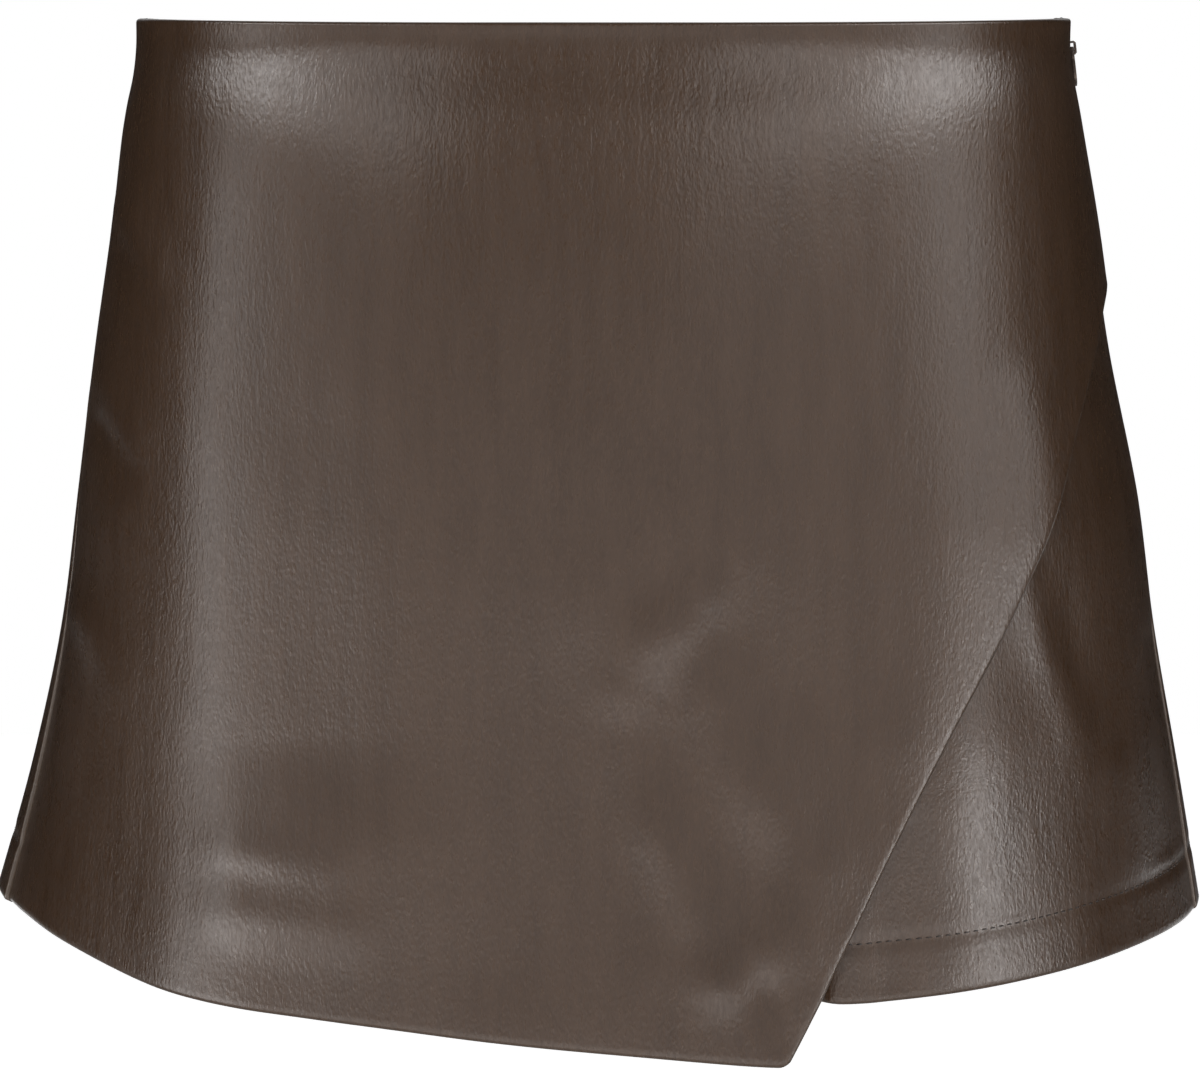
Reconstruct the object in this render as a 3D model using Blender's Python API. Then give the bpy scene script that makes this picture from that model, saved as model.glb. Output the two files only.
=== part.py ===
"""A short coated skort, hollow as if worn: wide shorts under one wrap panel whose free edge slants down.

The skort faces -Y and hangs from its waist edge at z = 0. Left and right are the wearer's, so left is +X.
"Drop" is the distance below the waist edge, before the cloth sags a little towards the front and the back.
Each panel is one grid of cloth laid on the rings of the body's form, then given its thickness inwards.
"""

import math

import bmesh
import bpy
import numpy as np
from mathutils import Matrix, Vector

# Cloth and seams, in metres.
CLOTH = 0.0012
TURNED = 0.0024
SEAM_GAP = 0.0003
HEM_TURN = 0.019
WAIST_TURN = 0.0095
TURN_STEP = 0.0012

# Drops of the form's main points.
SIDE_DROP = 0.2748
CROTCH_DROP = 0.222
RISE_DROP = {"front": 0.128, "back": 0.124}

# The crotch and the inseams, and the corner where each leg's front and back turn inwards.
CROTCH_Y = 0.012
RISE_ROUNDNESS = 2.2
INSEAM_X = 0.013
INSEAM_Y = 0.006
CORNER_X = {"waist": 0.048, "hem": 0.072}

# Where these changes start and end along a panel's inner edge ("inner", as in SHORTS_ROWS): the cloth
# turning inwards, the corner moving out to its place at the hem, and the round part leaving the ring.
TURN_INWARDS = (1.0, 1.6)
CORNER_MOVES = (0.8, 2.4)
LEAVES_RING = (0.55, 1.15)
ROUND_PULL = 0.55

# How far the middle of the front and of the back hangs lower than the sides, and how far the hem is
# drawn up on the right side.
SAG = {"front": {"waist": 0.0012, "hem": 0.0106}, "back": {"waist": 0.0040, "hem": 0.0030}}
SAG_GROWTH = 1.5
RIGHT_HEM_LIFT = 0.0050
RIGHT_HEM_X = 0.18

# The seat: the back panels round out over it on each side of the centre seam.
SEAT_BULGE = 0.0050
SEAT_X = 0.072
SEAT_DROP = 0.155
SEAT_WIDTH = 0.040
SEAT_HEIGHT = 0.060

# The body's ring at each drop: half widths to the wearer's right and left, depths to the front and the
# back, the exponent of the outline (2 is an ellipse, more is boxier), and how far forward the seams lie.
RING_COLUMNS = ("drop", "right", "left", "front", "back", "square", "seam_right", "seam_left")
RINGS = [
    (0.000, 0.1422, 0.1430, 0.0962, 0.0940, 2.35, 0.026, 0.006),
    (0.012, 0.1424, 0.1426, 0.0971, 0.0963, 2.40, 0.026, 0.006),
    (0.030, 0.1457, 0.1454, 0.1035, 0.1033, 2.45, 0.025, 0.006),
    (0.060, 0.1496, 0.1508, 0.1104, 0.1152, 2.42, 0.025, 0.007),
    (0.100, 0.1557, 0.1571, 0.1163, 0.1274, 2.36, 0.026, 0.010),
    (0.145, 0.1618, 0.1667, 0.1197, 0.1349, 2.30, 0.029, 0.015),
    (0.190, 0.1682, 0.1733, 0.1214, 0.1365, 2.25, 0.032, 0.021),
    (0.230, 0.1772, 0.1808, 0.1235, 0.1341, 2.20, 0.034, 0.025),
    (0.285, 0.1928, 0.1907, 0.1270, 0.1326, 2.14, 0.037, 0.028),
]
RING_STEPS = 160
CHORD = 0.0005

# Rows of the four shorts panels. "side" is the drop on the side seam. "inner" goes down the centre seam
# to the rise (0 to 1), round the rise to the crotch (1 to 2), then down the inseam to the hem (2 to 3).
SHORTS_ROWS = [
    {"side": 0.0000, "inner": 0.000, "turned": True},
    {"side": WAIST_TURN, "inner": 0.072, "turned": True},
    {"side": WAIST_TURN + TURN_STEP, "inner": 0.085, "turned": False},
    {"side": 0.0280, "inner": 0.225, "turned": False},
    {"side": 0.0520, "inner": 0.415, "turned": False},
    {"side": 0.0780, "inner": 0.630, "turned": False},
    {"side": 0.1020, "inner": 0.820, "turned": False},
    {"side": 0.1240, "inner": 1.000, "turned": False},
    {"side": 0.1380, "inner": 1.150, "turned": False},
    {"side": 0.1520, "inner": 1.300, "turned": False},
    {"side": 0.1660, "inner": 1.460, "turned": False},
    {"side": 0.1800, "inner": 1.630, "turned": False},
    {"side": 0.1960, "inner": 1.810, "turned": False},
    {"side": 0.2140, "inner": 2.000, "turned": False},
    {"side": 0.2340, "inner": 2.330, "turned": False},
    {"side": SIDE_DROP - HEM_TURN - TURN_STEP, "inner": 2.625, "turned": False},
    {"side": SIDE_DROP - HEM_TURN, "inner": 2.650, "turned": True},
    {"side": 0.2653, "inner": 2.825, "turned": True},
    {"side": SIDE_DROP, "inner": 3.000, "turned": True},
]
SHORTS_COLUMNS = {"front": {"outer": 12, "inner": 7}, "back": {"outer": 11, "inner": 7}}
EDGE_COLUMN = 0.020

# The wrap panel. "around" is 0 on the right side seam, 0.5 at the centre front and 1 on the left side seam,
# and the front is about FRONT_WIDTH round from seam to seam. The rows start on the right seam. They end on
# the left seam down to WRAP_LEAVES, and below it on the slanting free edge.
FRONT_WIDTH = 0.43
WRAP_LEAVES = 0.0783
WRAP_SEAM_DROPS = (0.0, WAIST_TURN, 0.028, 0.052, WRAP_LEAVES)
WRAP_SLANT_ROWS = 14
WRAP_EDGE = [
    {"around": 1.000, "drop": WRAP_LEAVES},
    {"around": 0.914, "drop": 0.0882},
    {"around": 0.871, "drop": 0.1051},
    {"around": 0.843, "drop": 0.1213},
    {"around": 0.820, "drop": 0.1400},
    {"around": 0.777, "drop": 0.1715},
    {"around": 0.722, "drop": 0.2072},
    {"around": 0.664, "drop": 0.2481},
    {"around": 0.614, "drop": 0.2863},
]
WRAP_HEM = [
    {"around": 0.000, "drop": 0.2745},
    {"around": 0.045, "drop": 0.2746},
    {"around": 0.100, "drop": 0.2764},
    {"around": 0.180, "drop": 0.2784},
    {"around": 0.260, "drop": 0.2780},
    {"around": 0.340, "drop": 0.2785},
    {"around": 0.420, "drop": 0.2804},
    {"around": 0.520, "drop": 0.2828},
    {"around": 0.614, "drop": 0.2863},
]
WRAP_NEAR_AIR = 0.0009
WRAP_NEAR_REACH = 0.009
WRAP_NEAR_FULL = 0.030
WRAP_AIR = 0.0022
WRAP_REACH = 0.040
WRAP_FULL = 0.160
WRAP_FREES = 0.020
WRAP_POINT_LIFT = 0.0050
WRAP_POINT_REACH = 0.070
LAYER_REACH = 0.026
LAYER_ENDS = (0.055, 0.085)

# The concealed zip in the left side seam.
ZIP_TAPE_WIDTH = 0.011
ZIP_TAPE = 0.0010
TAPE_GAP = 0.0008
ZIP_TOP = 0.0125
ZIP_BOTTOM = 0.1650
ZIP_ROWS = 12
ZIP_COLUMNS = 2
SLIDER_DROP = 0.0092
SLIDER_OPENING = 0.0011
SLIDER_OPENING_END = 0.0140
SLIDER_OPENING_CLOSED = 0.0240
SLIDER_STEM = 0.0014
SLIDER_TILT = math.radians(7)
PULL_AXIS_OUT = 0.0010

COLOURS = {
    "wrap": (0.060, 0.040, 0.029),
    "shorts": (0.056, 0.037, 0.027),
    "tape": (0.022, 0.015, 0.012),
    "metal": (0.050, 0.035, 0.028),
}


def smooth_curve(places, values):
    """A smooth function that passes through the values at the places, for numbers or arrays."""
    places = np.array(places, float)
    values = np.array(values, float)
    slopes = np.gradient(values, places)

    def value(at):
        index = np.clip(np.searchsorted(places, at) - 1, 0, len(places) - 2)
        width = places[index + 1] - places[index]
        t = np.clip((at - places[index]) / width, 0.0, 1.0)
        return (
            values[index] * (1 + 2 * t) * (1 - t) ** 2
            + values[index + 1] * t * t * (3 - 2 * t)
            + slopes[index] * width * t * (1 - t) ** 2
            - slopes[index + 1] * width * t * t * (1 - t)
        )

    return value


def ease(value, start, end):
    """0 before the start and 1 after the end, with a soft change between them."""
    t = min(1.0, max(0.0, (value - start) / (end - start)))
    return t * t * (3 - 2 * t)


FORM = {
    name: smooth_curve([row[0] for row in RINGS], [row[i] for row in RINGS])
    for i, name in enumerate(RING_COLUMNS)
}
HEM_DROP = smooth_curve([p["around"] for p in WRAP_HEM], [p["drop"] for p in WRAP_HEM])


# ---- The body's form ----


def half_ring(side, face, drop):
    """The ring's path at a drop, from the side seam to the middle of the front or back, as 2D points.

    side is "left" or "right", and the points are given for the left, at +X.
    """
    width = FORM[side](drop)
    square = FORM["square"](drop)
    seam = FORM["seam_" + side](drop)
    start = -math.asin((seam / FORM["front"](drop)) ** (square / 2))
    end = -math.pi / 2 if face == "front" else math.pi / 2
    angle = np.linspace(start, end, RING_STEPS)
    depth = np.where(angle < 0, FORM["front"](drop), FORM["back"](drop))
    x = width * np.abs(np.cos(angle)) ** (2 / square)
    y = depth * np.sign(angle) * np.abs(np.sin(angle)) ** (2 / square)
    if face == "back":
        high = near_to(drop - SEAT_DROP, SEAT_HEIGHT)
        wide = np.exp(-(((x - SEAT_X) / SEAT_WIDTH) ** 2))
        y = y + SEAT_BULGE * high * wide * np.maximum(0.0, np.sin(angle))
    return np.column_stack([x, y])


def lengths_along(path):
    """The distance from the path's start to each of its points."""
    steps = np.hypot(*np.diff(path, axis=0).T)
    return np.concatenate([[0.0], np.cumsum(steps)])


def point_on(path, distance):
    """The point at a distance along the path, and the unit direction of the path there."""
    along = lengths_along(path)

    def place(at):
        return np.array([np.interp(at, along, path[:, 0]), np.interp(at, along, path[:, 1])])

    direction = place(distance + CHORD) - place(distance - CHORD)
    return place(distance), direction / np.linalg.norm(direction)


def edge_spaced(step, steps):
    """Steps from 0 to 1, even but for a short first one."""
    return 0.0 if step == 0 else EDGE_COLUMN + (1 - EDGE_COLUMN) * (step - 1) / (steps - 1)


def near_to(distance, reach):
    """1 at a place, fading to 0 over its reach."""
    return math.exp(-((distance / reach) ** 2))


def hung(x, y, drop):
    """The place in space of a point of the form: the cloth sags towards the middle of each face."""
    face = "front" if y < 0 else "back"
    share = (y / FORM[face](drop)) ** 2
    growth = max(0.0, drop / SIDE_DROP) ** SAG_GROWTH
    sag = SAG[face]["waist"] + (SAG[face]["hem"] - SAG[face]["waist"]) * growth
    lift = RIGHT_HEM_LIFT * growth * (min(x, 0.0) / RIGHT_HEM_X) ** 2
    return Vector((x, y, lift - drop - sag * share))


def zip_half_gap(side, drop):
    """Half the gap on a side seam: the left one opens a little at its top, round the zip's slider."""
    if side == "right":
        return SEAM_GAP / 2
    shut = ease(drop, SLIDER_OPENING_END, SLIDER_OPENING_CLOSED)
    return SLIDER_OPENING + (SEAM_GAP / 2 - SLIDER_OPENING) * shut


# ---- The shorts ----


def inner_edge(face, inner):
    """The inner edge of a shorts panel: (x, y), its drop, and how far the cloth has turned inwards there."""
    rise = RISE_DROP[face]
    outwards = -1 if face == "front" else 1
    if inner <= 1:
        drop = inner * rise
        return (0.0, outwards * float(FORM[face](drop))), drop, 0.0
    if inner <= 2:
        angle = (inner - 1) * math.pi / 2
        reach = outwards * float(FORM[face](rise)) - CROTCH_Y
        y = CROTCH_Y + reach * math.cos(angle) ** (2 / RISE_ROUNDNESS)
        drop = rise + (CROTCH_DROP - rise) * math.sin(angle) ** (2 / RISE_ROUNDNESS)
        turn = math.pi / 2 * ease(inner, *TURN_INWARDS)
        return (SEAM_GAP / 2 * math.sin(turn), y), drop, turn
    down = inner - 2
    x = SEAM_GAP / 2 + (INSEAM_X - SEAM_GAP / 2) * down
    y = CROTCH_Y + (INSEAM_Y - CROTCH_Y) * down
    return (x, y), CROTCH_DROP + (SIDE_DROP - CROTCH_DROP) * down, math.pi / 2


def split_at(path, x):
    """A ring's path cut where it comes in to x."""
    first = int(np.argmax(path[:, 0] < x))
    share = (path[first - 1, 0] - x) / (path[first - 1, 0] - path[first, 0])
    cut = path[first - 1] + (path[first] - path[first - 1]) * share
    return np.vstack([path[:first], cut]), np.vstack([cut, path[first:]])


def leg_path(side, face, drop, inner):
    """A shorts panel's path at one drop: its part along the body's ring, then the part to its inner edge."""
    end, _, turn = inner_edge(face, inner)
    corner = CORNER_X["waist"] + (CORNER_X["hem"] - CORNER_X["waist"]) * ease(inner, *CORNER_MOVES)
    outer, rest = split_at(half_ring(side, face, drop), corner)
    start, leaving = outer[-1], outer[-1] - outer[-2]
    leaving = leaving / np.linalg.norm(leaving)
    end = np.array(end)
    inwards = 1 if face == "front" else -1
    arriving = np.array([-math.cos(turn), inwards * math.sin(turn)])
    span = end - start
    first = start + leaving * ROUND_PULL * abs(span @ leaving)
    last = end - arriving * ROUND_PULL * abs(span @ arriving)
    t = np.linspace(0, 1, RING_STEPS // 2)[:, None]
    round_in = (1 - t) ** 3 * start + 3 * (1 - t) ** 2 * t * first + 3 * (1 - t) * t * t * last + t**3 * end
    along = lengths_along(rest)
    even = t[:, 0] * along[-1]
    rest = np.column_stack([np.interp(even, along, rest[:, i]) for i in (0, 1)])
    return outer, rest + (round_in - rest) * ease(inner, *LEAVES_RING)


def layered_rise(side, drop, distance):
    """How far a back panel stands out near a side seam, to lie level with the wrap panel in front of it."""
    ends = 1.0 if side == "right" else 1 - ease(drop, *LAYER_ENDS)
    return (CLOTH + SEAM_GAP) * ends * near_to(distance, LAYER_REACH)


def shorts_place(side, face, row, column):
    """The place of a point of a shorts panel. Column 0 is the side seam, the last one the inner edge."""
    line = SHORTS_ROWS[row]
    columns = SHORTS_COLUMNS[face]
    _, inner_drop, _ = inner_edge(face, line["inner"])
    across = column / (columns["outer"] + columns["inner"])
    drop = line["side"] + (inner_drop - line["side"]) * ease(across, 0.0, 1.0)
    outer, inner = leg_path(side, face, drop, line["inner"])
    if column <= columns["outer"]:
        start = zip_half_gap(side, drop)
        length = lengths_along(outer)[-1]
        distance = start + (length - start) * edge_spaced(column, columns["outer"])
        point, along = point_on(outer, distance)
    else:
        length = lengths_along(inner)[-1] - SEAM_GAP / 2
        left = columns["outer"] + columns["inner"] - column
        point, along = point_on(inner, length * (1 - edge_spaced(left, columns["inner"])))
        distance = 1.0
    outwards = np.array([-along[1], along[0]]) * (-1 if face == "back" else 1)
    if face == "back":
        point = point + outwards * layered_rise(side, drop, distance)
    x = point[0] if side == "left" else -point[0]
    return hung(x, point[1], drop)


# ---- The wrap panel ----


def wrap_air(around, drop):
    """The gap between the shorts and the wrap panel: nothing at its seams, most at its free point."""
    from_right = around * FRONT_WIDTH
    from_left = (1 - around) * FRONT_WIDTH
    below_seam = ease(drop, WRAP_LEAVES, WRAP_LEAVES + WRAP_FREES)
    near = near_to(from_right, WRAP_NEAR_REACH), near_to(from_left, WRAP_NEAR_REACH) * (1 - below_seam)
    wide = near_to(from_right, WRAP_REACH), near_to(from_left, WRAP_REACH) * (1 - below_seam)
    air = WRAP_NEAR_AIR * ease(drop, 0.0, WRAP_NEAR_FULL) * (1 - near[0]) * (1 - near[1])
    air += WRAP_AIR * ease(drop, 0.0, WRAP_FULL) * (1 - wide[0]) * (1 - wide[1])
    point = WRAP_EDGE[-1]
    from_point = math.hypot((around - point["around"]) * FRONT_WIDTH, drop - point["drop"])
    return SEAM_GAP + air + WRAP_POINT_LIFT * near_to(from_point, WRAP_POINT_REACH)


def wrap_place(around, drop):
    """The place of a point of the wrap panel's outer side."""
    side = "right" if around <= 0.5 else "left"
    from_seam = 2 * around if side == "right" else 2 * (1 - around)
    path = half_ring(side, "front", drop)
    length = lengths_along(path)[-1]
    on_left_seam = side == "left" and drop <= WRAP_LEAVES
    start = zip_half_gap(side, drop) if side == "right" or on_left_seam else 0.0
    point, along = point_on(path, start + (length - start) * from_seam)
    outwards = np.array([-along[1], along[0]])
    if outwards @ point < 0:
        outwards = -outwards
    point = point + outwards * (wrap_air(around, drop) + CLOTH)
    x = point[0] if side == "left" else -point[0]
    return hung(x, point[1], drop)


def wrap_row_ends():
    """For each row of the wrap panel, its drop on the right seam and (around, drop) on the other edge."""
    corners = np.array([(p["around"] * FRONT_WIDTH, p["drop"]) for p in WRAP_EDGE])
    places = lengths_along(corners)
    t = np.linspace(0, places[-1], 80)
    around = smooth_curve(places, corners[:, 0])(t) / FRONT_WIDTH
    drop = smooth_curve(places, corners[:, 1])(t)
    along = lengths_along(np.column_stack([around * FRONT_WIDTH, drop]))
    ends = [(level, 1.0, level) for level in WRAP_SEAM_DROPS]
    for i in range(1, WRAP_SLANT_ROWS + 1):
        share = i / WRAP_SLANT_ROWS
        right = WRAP_LEAVES + (WRAP_HEM[0]["drop"] - WRAP_LEAVES) * share
        at = share * along[-1]
        ends.append((right, float(np.interp(at, along, around)), float(np.interp(at, along, drop))))
    return ends


WRAP_ROW_ENDS = wrap_row_ends()


def wrap_on_body(column, row):
    """(around, drop) of a point of the wrap panel: rows run straight, and bow into the hem's curve."""
    right_drop, around_end, drop_end = WRAP_ROW_ENDS[row]
    columns = SHORTS_COLUMNS["front"]
    half = columns["outer"] + columns["inner"]
    side, step = ("right", column) if column <= half else ("left", 2 * half - column)
    ring = half_ring(side, "front", min(right_drop, drop_end))
    outer, inner = [lengths_along(part)[-1] for part in split_at(ring, CORNER_X["waist"])]
    split = outer / (outer + inner)
    if step <= columns["outer"]:
        share = split * edge_spaced(step, columns["outer"])
    else:
        share = 1 - (1 - split) * edge_spaced(half - step, columns["inner"])
    across = share / 2 if side == "right" else 1 - share / 2
    around = around_end * across
    drop = right_drop + (drop_end - right_drop) * across
    hem_around = WRAP_HEM[-1]["around"] * across
    straight = WRAP_HEM[0]["drop"] + (WRAP_HEM[-1]["drop"] - WRAP_HEM[0]["drop"]) * across
    lowness = (row / (len(WRAP_ROW_ENDS) - 1)) ** 2
    return around, drop + (float(HEM_DROP(hem_around)) - straight) * lowness


# ---- Making objects ----


def material(name, colour, roughness, metallic=0.0):
    made = bpy.data.materials.new(name)
    made.use_nodes = True
    shader = made.node_tree.nodes["Principled BSDF"]
    shader.inputs["Base Color"].default_value = (*colour, 1.0)
    shader.inputs["Roughness"].default_value = roughness
    shader.inputs["Metallic"].default_value = metallic
    made.diffuse_color = (*colour, 1.0)
    return made


def add_object(name, bm, finish):
    mesh = bpy.data.meshes.new(name)
    bm.to_mesh(mesh)
    bm.free()
    made = bpy.data.objects.new(name, mesh)
    bpy.context.scene.collection.objects.link(made)
    mesh.materials.append(finish)
    return made


def cloth_panel(name, columns, rows, place, thickness, finish):
    """A closed sheet: a grid laid by place(column, row), its outer side out, thickened inwards."""
    bm = bmesh.new()
    bmesh.ops.create_grid(bm, x_segments=columns, y_segments=rows, size=0.5)
    cells = {v: (round((v.co.x + 0.5) * columns), round((v.co.y + 0.5) * rows)) for v in bm.verts}
    for vert, (column, row) in cells.items():
        vert.co = place(column, row)
    bm.normal_update()
    outwards = sum(f.normal.xy.dot(f.calc_center_median().xy) for f in bm.faces)
    if outwards < 0:
        bmesh.ops.reverse_faces(bm, faces=bm.faces)
    shares = [thickness(*cells[v]) / TURNED for v in bm.verts]
    made = add_object(name, bm, finish)
    made.data.shade_smooth()
    group = made.vertex_groups.new(name="thickness")
    for index, share in enumerate(shares):
        group.add([index], share, "REPLACE")
    solidify = made.modifiers.new("cloth", "SOLIDIFY")
    solidify.thickness = TURNED
    solidify.offset = -1
    solidify.vertex_group = group.name
    return made


def shorts_panel(side, face, finish):
    return cloth_panel(
        f"shorts_{face}_{side}",
        sum(SHORTS_COLUMNS[face].values()),
        len(SHORTS_ROWS) - 1,
        lambda column, row: shorts_place(side, face, row, column),
        lambda column, row: TURNED if SHORTS_ROWS[row]["turned"] else CLOTH,
        finish,
    )


def wrap_panel(finish):
    rows = len(WRAP_ROW_ENDS) - 1
    columns = 2 * sum(SHORTS_COLUMNS["front"].values())

    def thickness(column, row):
        """The hem and the free edge are turned in, as far as the shorts beneath them leave room."""
        around, drop = wrap_on_body(column, row)
        on_free_edge = column == columns and drop > WRAP_LEAVES
        if row < rows and not on_free_edge:
            return CLOTH
        return CLOTH + min(CLOTH, wrap_air(around, drop) - SEAM_GAP)

    return cloth_panel(
        "wrap_front",
        columns,
        rows,
        lambda column, row: wrap_place(*wrap_on_body(column, row)),
        thickness,
        finish,
    )


def zip_tape(face, finish):
    """One tape of the zip, inside the panel on its side of the left seam."""

    def place(column, row):
        drop = ZIP_TOP + (ZIP_BOTTOM - ZIP_TOP) * row / ZIP_ROWS
        path = half_ring("left", face, drop)
        start = zip_half_gap("left", drop)
        distance = start + ZIP_TAPE_WIDTH * column / ZIP_COLUMNS
        point, along = point_on(path, distance)
        outwards = np.array([-along[1], along[0]]) * (-1 if face == "back" else 1)
        rise = layered_rise("left", drop, distance) if face == "back" else 0.0
        point = point + outwards * (rise - CLOTH - TAPE_GAP)
        return hung(point[0], point[1], drop)

    name = f"zip_tape_{face}"
    return cloth_panel(name, ZIP_COLUMNS, ZIP_ROWS, place, lambda column, row: ZIP_TAPE, finish)


# ---- The zip's slider and pull ----


def slider_centre():
    """The point on the left seam, on the wrap panel's outer side, that the slider is centred on."""
    seam = half_ring("left", "front", SLIDER_DROP)[0]
    return Vector((seam[0] + SEAM_GAP + CLOTH, seam[1], -SLIDER_DROP))


def plate(outline, hole, thickness):
    """A plate with an outline and one hole, both in XZ, centred on its thickness along Y."""
    bm = bmesh.new()
    edges = []
    for points in (outline, hole):
        verts = [bm.verts.new((x, -thickness / 2, z)) for x, z in points]
        edges += [bm.edges.new((verts[i - 1], verts[i])) for i in range(len(verts))]
    bmesh.ops.triangle_fill(bm, use_beauty=True, edges=edges)
    pushed = bmesh.ops.extrude_face_region(bm, geom=bm.faces[:])
    verts = [item for item in pushed["geom"] if isinstance(item, bmesh.types.BMVert)]
    bmesh.ops.translate(bm, verts=verts, vec=(0, thickness, 0))
    bmesh.ops.recalc_face_normals(bm, faces=bm.faces)
    return bm


def zip_slider(finish):
    """The slider: a crown outside the seam for the pull, a stem through the seam, and a body inside it."""
    tape_inside = -(2 * CLOTH + SEAM_GAP + TAPE_GAP + ZIP_TAPE)
    body_out = tape_inside - 0.0005
    body_in = body_out - 0.0025
    stem = 0.0019
    neck, shoulder = -0.0004, 0.0002
    crown = 0.00215
    crown_out = 0.00245
    chamfer = 0.0006
    outline = [
        (body_in, stem),
        (body_in, -stem),
        (neck, -stem),
        (shoulder, -crown),
        (crown_out - chamfer, -crown),
        (crown_out, chamfer - crown),
        (crown_out, crown - chamfer),
        (crown_out - chamfer, crown),
        (shoulder, crown),
        (neck, stem),
    ]
    room, room_out = 0.0015, 0.00175
    window = [(shoulder, room), (room_out, room), (room_out, -room), (shoulder, -room)]
    upright = Matrix.Rotation(-SLIDER_TILT, 4, "Y")
    loop = plate(outline, window, SLIDER_STEM)
    loop.transform(upright)
    slider = add_object("zip_slider", loop, finish)
    block = bmesh.new()
    middle = Matrix.Translation(((body_in + body_out) / 2, 0, 0))
    size = Matrix.Diagonal((body_out - body_in, 0.0055, 0.0080, 1.0))
    bmesh.ops.create_cube(block, size=1.0, matrix=middle @ size)
    bmesh.ops.bevel(block, geom=block.edges[:], offset=0.0006, segments=1, affect="EDGES")
    block.transform(upright)
    body = add_object("slider_body", block, finish)
    body.hide_render = True
    join = slider.modifiers.new("body", "BOOLEAN")
    join.operation = "UNION"
    join.object = body
    slider.location = slider_centre()
    body.location = slider_centre()


def zip_pull(finish):
    """The pull: a drop-shaped tab whose top bar turns in the slider's crown. Its origin is on that axis."""
    length, width, thickness = 0.0118, 0.0048, 0.0009
    shoulder, bar, eye, eye_end = 0.0019, 0.0004, 0.0010, 0.0031
    widest, rounds = 0.6, 0.7
    steps = 14
    half = []
    for i in range(steps + 1):
        down = i / steps
        broad = shoulder + (width / 2 - shoulder) * ease(down, 0.0, widest)
        past = max(0.0, (down - rounds) / (1 - rounds))
        rounding = math.sqrt(max(0.0, 1 - past**2))
        half.append((broad * rounding, bar - (length + bar) * down))
    outline = half + [(-x, z) for x, z in reversed(half[:-1])]
    window = [(-eye, -bar), (eye, -bar), (eye, -eye_end), (-eye, -eye_end)]
    tab = plate(outline, window, thickness)
    tab.transform(Matrix.Rotation(-SLIDER_TILT, 4, "Y") @ Matrix.Rotation(math.radians(90), 4, "Z"))
    pull = add_object("zip_pull", tab, finish)
    axis = Vector((PULL_AXIS_OUT, 0, 0))
    axis.rotate(Matrix.Rotation(-SLIDER_TILT, 4, "Y"))
    pull.location = slider_centre() + axis


def main():
    for old in list(bpy.data.objects):
        bpy.data.objects.remove(old)
    wrap_panel(material("wrap_coating", COLOURS["wrap"], 0.42))
    for face in ("front", "back"):
        for side in ("left", "right"):
            finish = material(f"shorts_{face}_{side}_coating", COLOURS["shorts"], 0.42)
            shorts_panel(side, face, finish)
        zip_tape(face, material(f"zip_tape_{face}_weave", COLOURS["tape"], 0.85))
    zip_slider(material("slider_enamel", COLOURS["metal"], 0.35, 0.6))
    zip_pull(material("pull_enamel", COLOURS["metal"], 0.30, 0.6))


main()
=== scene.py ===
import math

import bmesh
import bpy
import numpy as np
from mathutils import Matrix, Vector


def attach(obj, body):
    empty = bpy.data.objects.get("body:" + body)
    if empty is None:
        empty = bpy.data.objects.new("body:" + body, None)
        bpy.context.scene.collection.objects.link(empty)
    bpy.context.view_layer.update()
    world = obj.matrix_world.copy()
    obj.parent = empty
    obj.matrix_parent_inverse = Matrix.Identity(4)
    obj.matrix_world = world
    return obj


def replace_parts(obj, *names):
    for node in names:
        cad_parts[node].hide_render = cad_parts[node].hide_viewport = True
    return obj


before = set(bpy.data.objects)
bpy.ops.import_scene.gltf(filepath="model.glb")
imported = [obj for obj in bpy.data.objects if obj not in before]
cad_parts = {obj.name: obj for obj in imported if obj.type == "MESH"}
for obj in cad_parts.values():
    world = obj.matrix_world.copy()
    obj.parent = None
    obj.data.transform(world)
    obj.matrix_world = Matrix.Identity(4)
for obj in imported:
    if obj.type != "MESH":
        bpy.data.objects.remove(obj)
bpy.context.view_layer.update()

# %% [markdown]
# # A coated skort
# A short skirt-and-shorts in a dark brown coated knit, filled out as if somebody wore it. Wide shorts hang
# under one smooth front panel, the wrap, whose free edge slants down from the wearer's left side. Every
# piece is one sheet of cloth: a grid that is laid on the body's form, folded in at its edges as a
# dressmaker turns a hem, and then given the thickness of the cloth. Left and right are the wearer's, so
# left is +X; the front faces -Y; "drop" is the distance below the waist edge.

# %% [markdown]
# ## Smooth curves
# A form such as a hip is told best by a few measured places with a smooth curve through them. The curve
# below passes through every value and goes on straight beyond its ends, so a fold may reach past an edge.


# %% Curve helpers
def smooth_curve(places, values):
    """A smooth function through the values at the places, straight beyond its ends."""
    places, values = np.array(places, float), np.array(values, float)
    slopes = np.gradient(values, places, axis=0)

    def value(at):
        at = np.asarray(at, float)
        inside = np.clip(at, places[0], places[-1])
        index = np.clip(np.searchsorted(places, inside) - 1, 0, len(places) - 2)
        width = places[index + 1] - places[index]
        t = (inside - places[index]) / width
        past = at - inside
        if values.ndim > 1:
            width, t, past = width[..., None], t[..., None], past[..., None]
        end_slope = slopes[np.where(at < places[0], 0, len(places) - 1)]
        return (
            values[index] * (1 + 2 * t) * (1 - t) ** 2
            + values[index + 1] * t * t * (3 - 2 * t)
            + slopes[index] * width * t * (1 - t) ** 2
            - slopes[index + 1] * width * t * t * (1 - t)
            + end_slope * past
        )

    return value


def ease(value, start, end):
    """0 before the start and 1 after the end, with a soft change between them."""
    t = np.clip((np.asarray(value, float) - start) / (end - start), 0.0, 1.0)
    return t * t * (3 - 2 * t)


def near_to(distance, reach):
    """1 at a place, fading to 0 over its reach."""
    return np.exp(-((np.asarray(distance, float) / reach) ** 2))


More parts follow.
